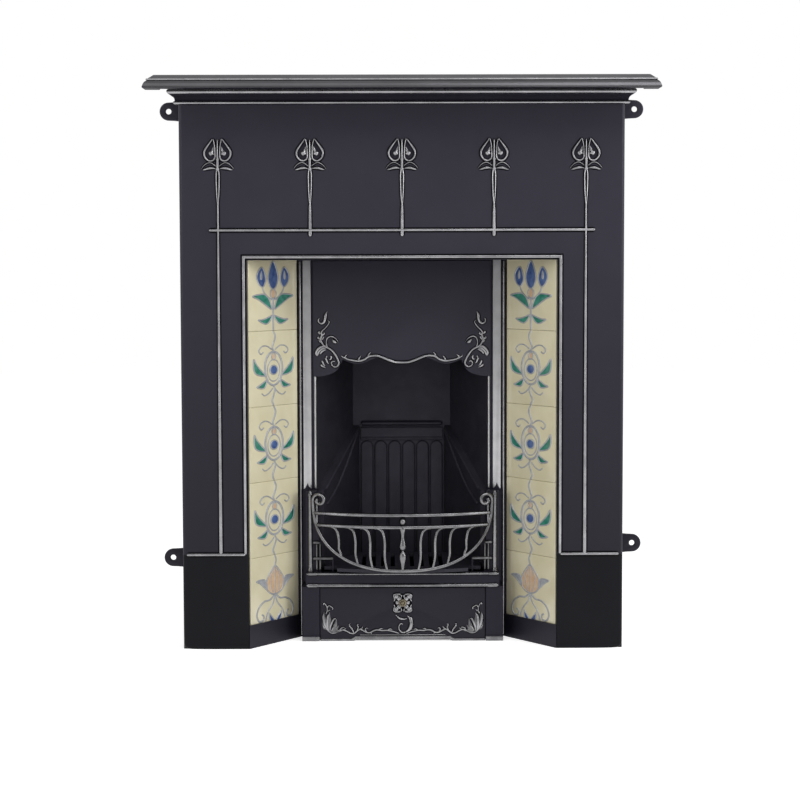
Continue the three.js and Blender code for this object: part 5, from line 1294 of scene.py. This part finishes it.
# A floor whose middle under the insert is painted dark as shade, so that no glow comes up through the
# grate.
floor_mesh = bpy.data.meshes.new("studio_floor")
across = (-FLOOR_REACH, -0.185, 0.185, FLOOR_REACH)
along = (-FLOOR_REACH, -0.015, 0.19, FLOOR_REACH)
floor_mesh.from_pydata([(x, y, 0) for y in along for x in across], [], [
    (r * 4 + c, r * 4 + c + 1, r * 4 + c + 5, r * 4 + c + 4) for r in range(3) for c in range(3)])
floor = bpy.data.objects.new("studio_floor", floor_mesh)
bpy.context.scene.collection.objects.link(floor)
mat = bpy.data.materials.new("studio_floor")
tree = bare_tree(mat)
diffuse = node(tree, "BsdfDiffuse", Color=(FLOOR_SHADE, FLOOR_SHADE, FLOOR_SHADE, 1))
glow = node(tree, "Emission")
total = node(tree, "AddShader")
rays = node(tree, "LightPath")
seen = rays.outputs["Is Camera Ray"]
for kind in ("Is Glossy Ray", "Is Transmission Ray"):
    either = node(tree, "Math")
    either.operation = "MAXIMUM"
    tree.links.new(seen, either.inputs[0])
    tree.links.new(rays.outputs[kind], either.inputs[1])
    seen = either.outputs[0]
tree.links.new(remap(tree, seen, 0.0, 1.0, 0.0, FLOOR_GLOW), glow.inputs["Strength"])
tree.links.new(diffuse.outputs[0], total.inputs[0])
tree.links.new(glow.outputs[0], total.inputs[1])
tree.links.new(total.outputs[0], node(tree, "OutputMaterial").inputs[0])
floor_mesh.materials.append(mat)
# Painted shade: the middle cell under the insert takes the near-black chamber iron.
floor_mesh.materials.append(MATERIALS["sooty_iron"])
floor_mesh.polygons[4].material_index = 1

world = bpy.data.worlds.new("studio")
bpy.context.scene.world = world
tree = bare_tree(world)
sky = node(tree, "Background", Color=(1, 1, 1, 1))
rays = node(tree, "LightPath")
split = node(tree, "SeparateXYZ")
tree.links.new(node(tree, "TexCoord").outputs["Generated"], split.inputs[0])
room = remap(tree, split.outputs["Y"], -0.75, 0.1, *ROOM_SEEN)
lit = node(tree, "Mix")
lit.inputs[2].default_value = ROOM_LIGHT
tree.links.new(rays.outputs["Is Glossy Ray"], lit.inputs[0])
tree.links.new(room, lit.inputs[3])
strength = node(tree, "Mix")
tree.links.new(rays.outputs["Is Camera Ray"], strength.inputs[0])
tree.links.new(lit.outputs[0], strength.inputs[2])
strength.inputs[3].default_value = 1.0
tree.links.new(strength.outputs[0], sky.inputs["Strength"])
tree.links.new(sky.outputs[0], node(tree, "OutputWorld").inputs[0])


def softbox(name, place, aim, width, height, radiance):
    light = bpy.data.lights.new(name, "AREA")
    light.shape = "RECTANGLE"
    light.size, light.size_y = width, height
    light.energy = radiance * math.pi * width * height
    obj = bpy.data.objects.new(name, light)
    obj.location = place
    obj.rotation_euler = (Vector(aim) - Vector(place)).to_track_quat("-Z", "Y").to_euler()
    bpy.context.scene.collection.objects.link(obj)


softbox("key_right", (2.5, -1.5, 1.5), (0.1, -0.1, 0.6), 1.1, 1.9, 4.2)
softbox("fill_left", (-2.3, -2.2, 1.2), (-0.1, -0.1, 0.6), 0.9, 1.6, 2.6)
softbox("top_right", (0.95, -1.6, 2.6), (0.2, -0.1, 0.6), 1.5, 0.9, 4.0)
softbox("top_left", (-0.75, -1.6, 2.6), (-0.2, -0.1, 0.6), 1.4, 0.9, 1.3)

LENS = 90.36
EYE = (-0.028, -4.108, 0.799)
PITCH, ROLL, YAW = 90 - 4.24, 0.14, -0.34  # degrees

camera = bpy.data.cameras.new("view")
camera.sensor_width = 36.0
camera.lens = LENS
eye = bpy.data.objects.new("view", camera)
eye.location = EYE
eye.rotation_euler = [math.radians(turn) for turn in (PITCH, ROLL, YAW)]
bpy.context.scene.collection.objects.link(eye)
bpy.context.scene.camera = eye
bpy.context.scene.view_settings.view_transform = "Standard"
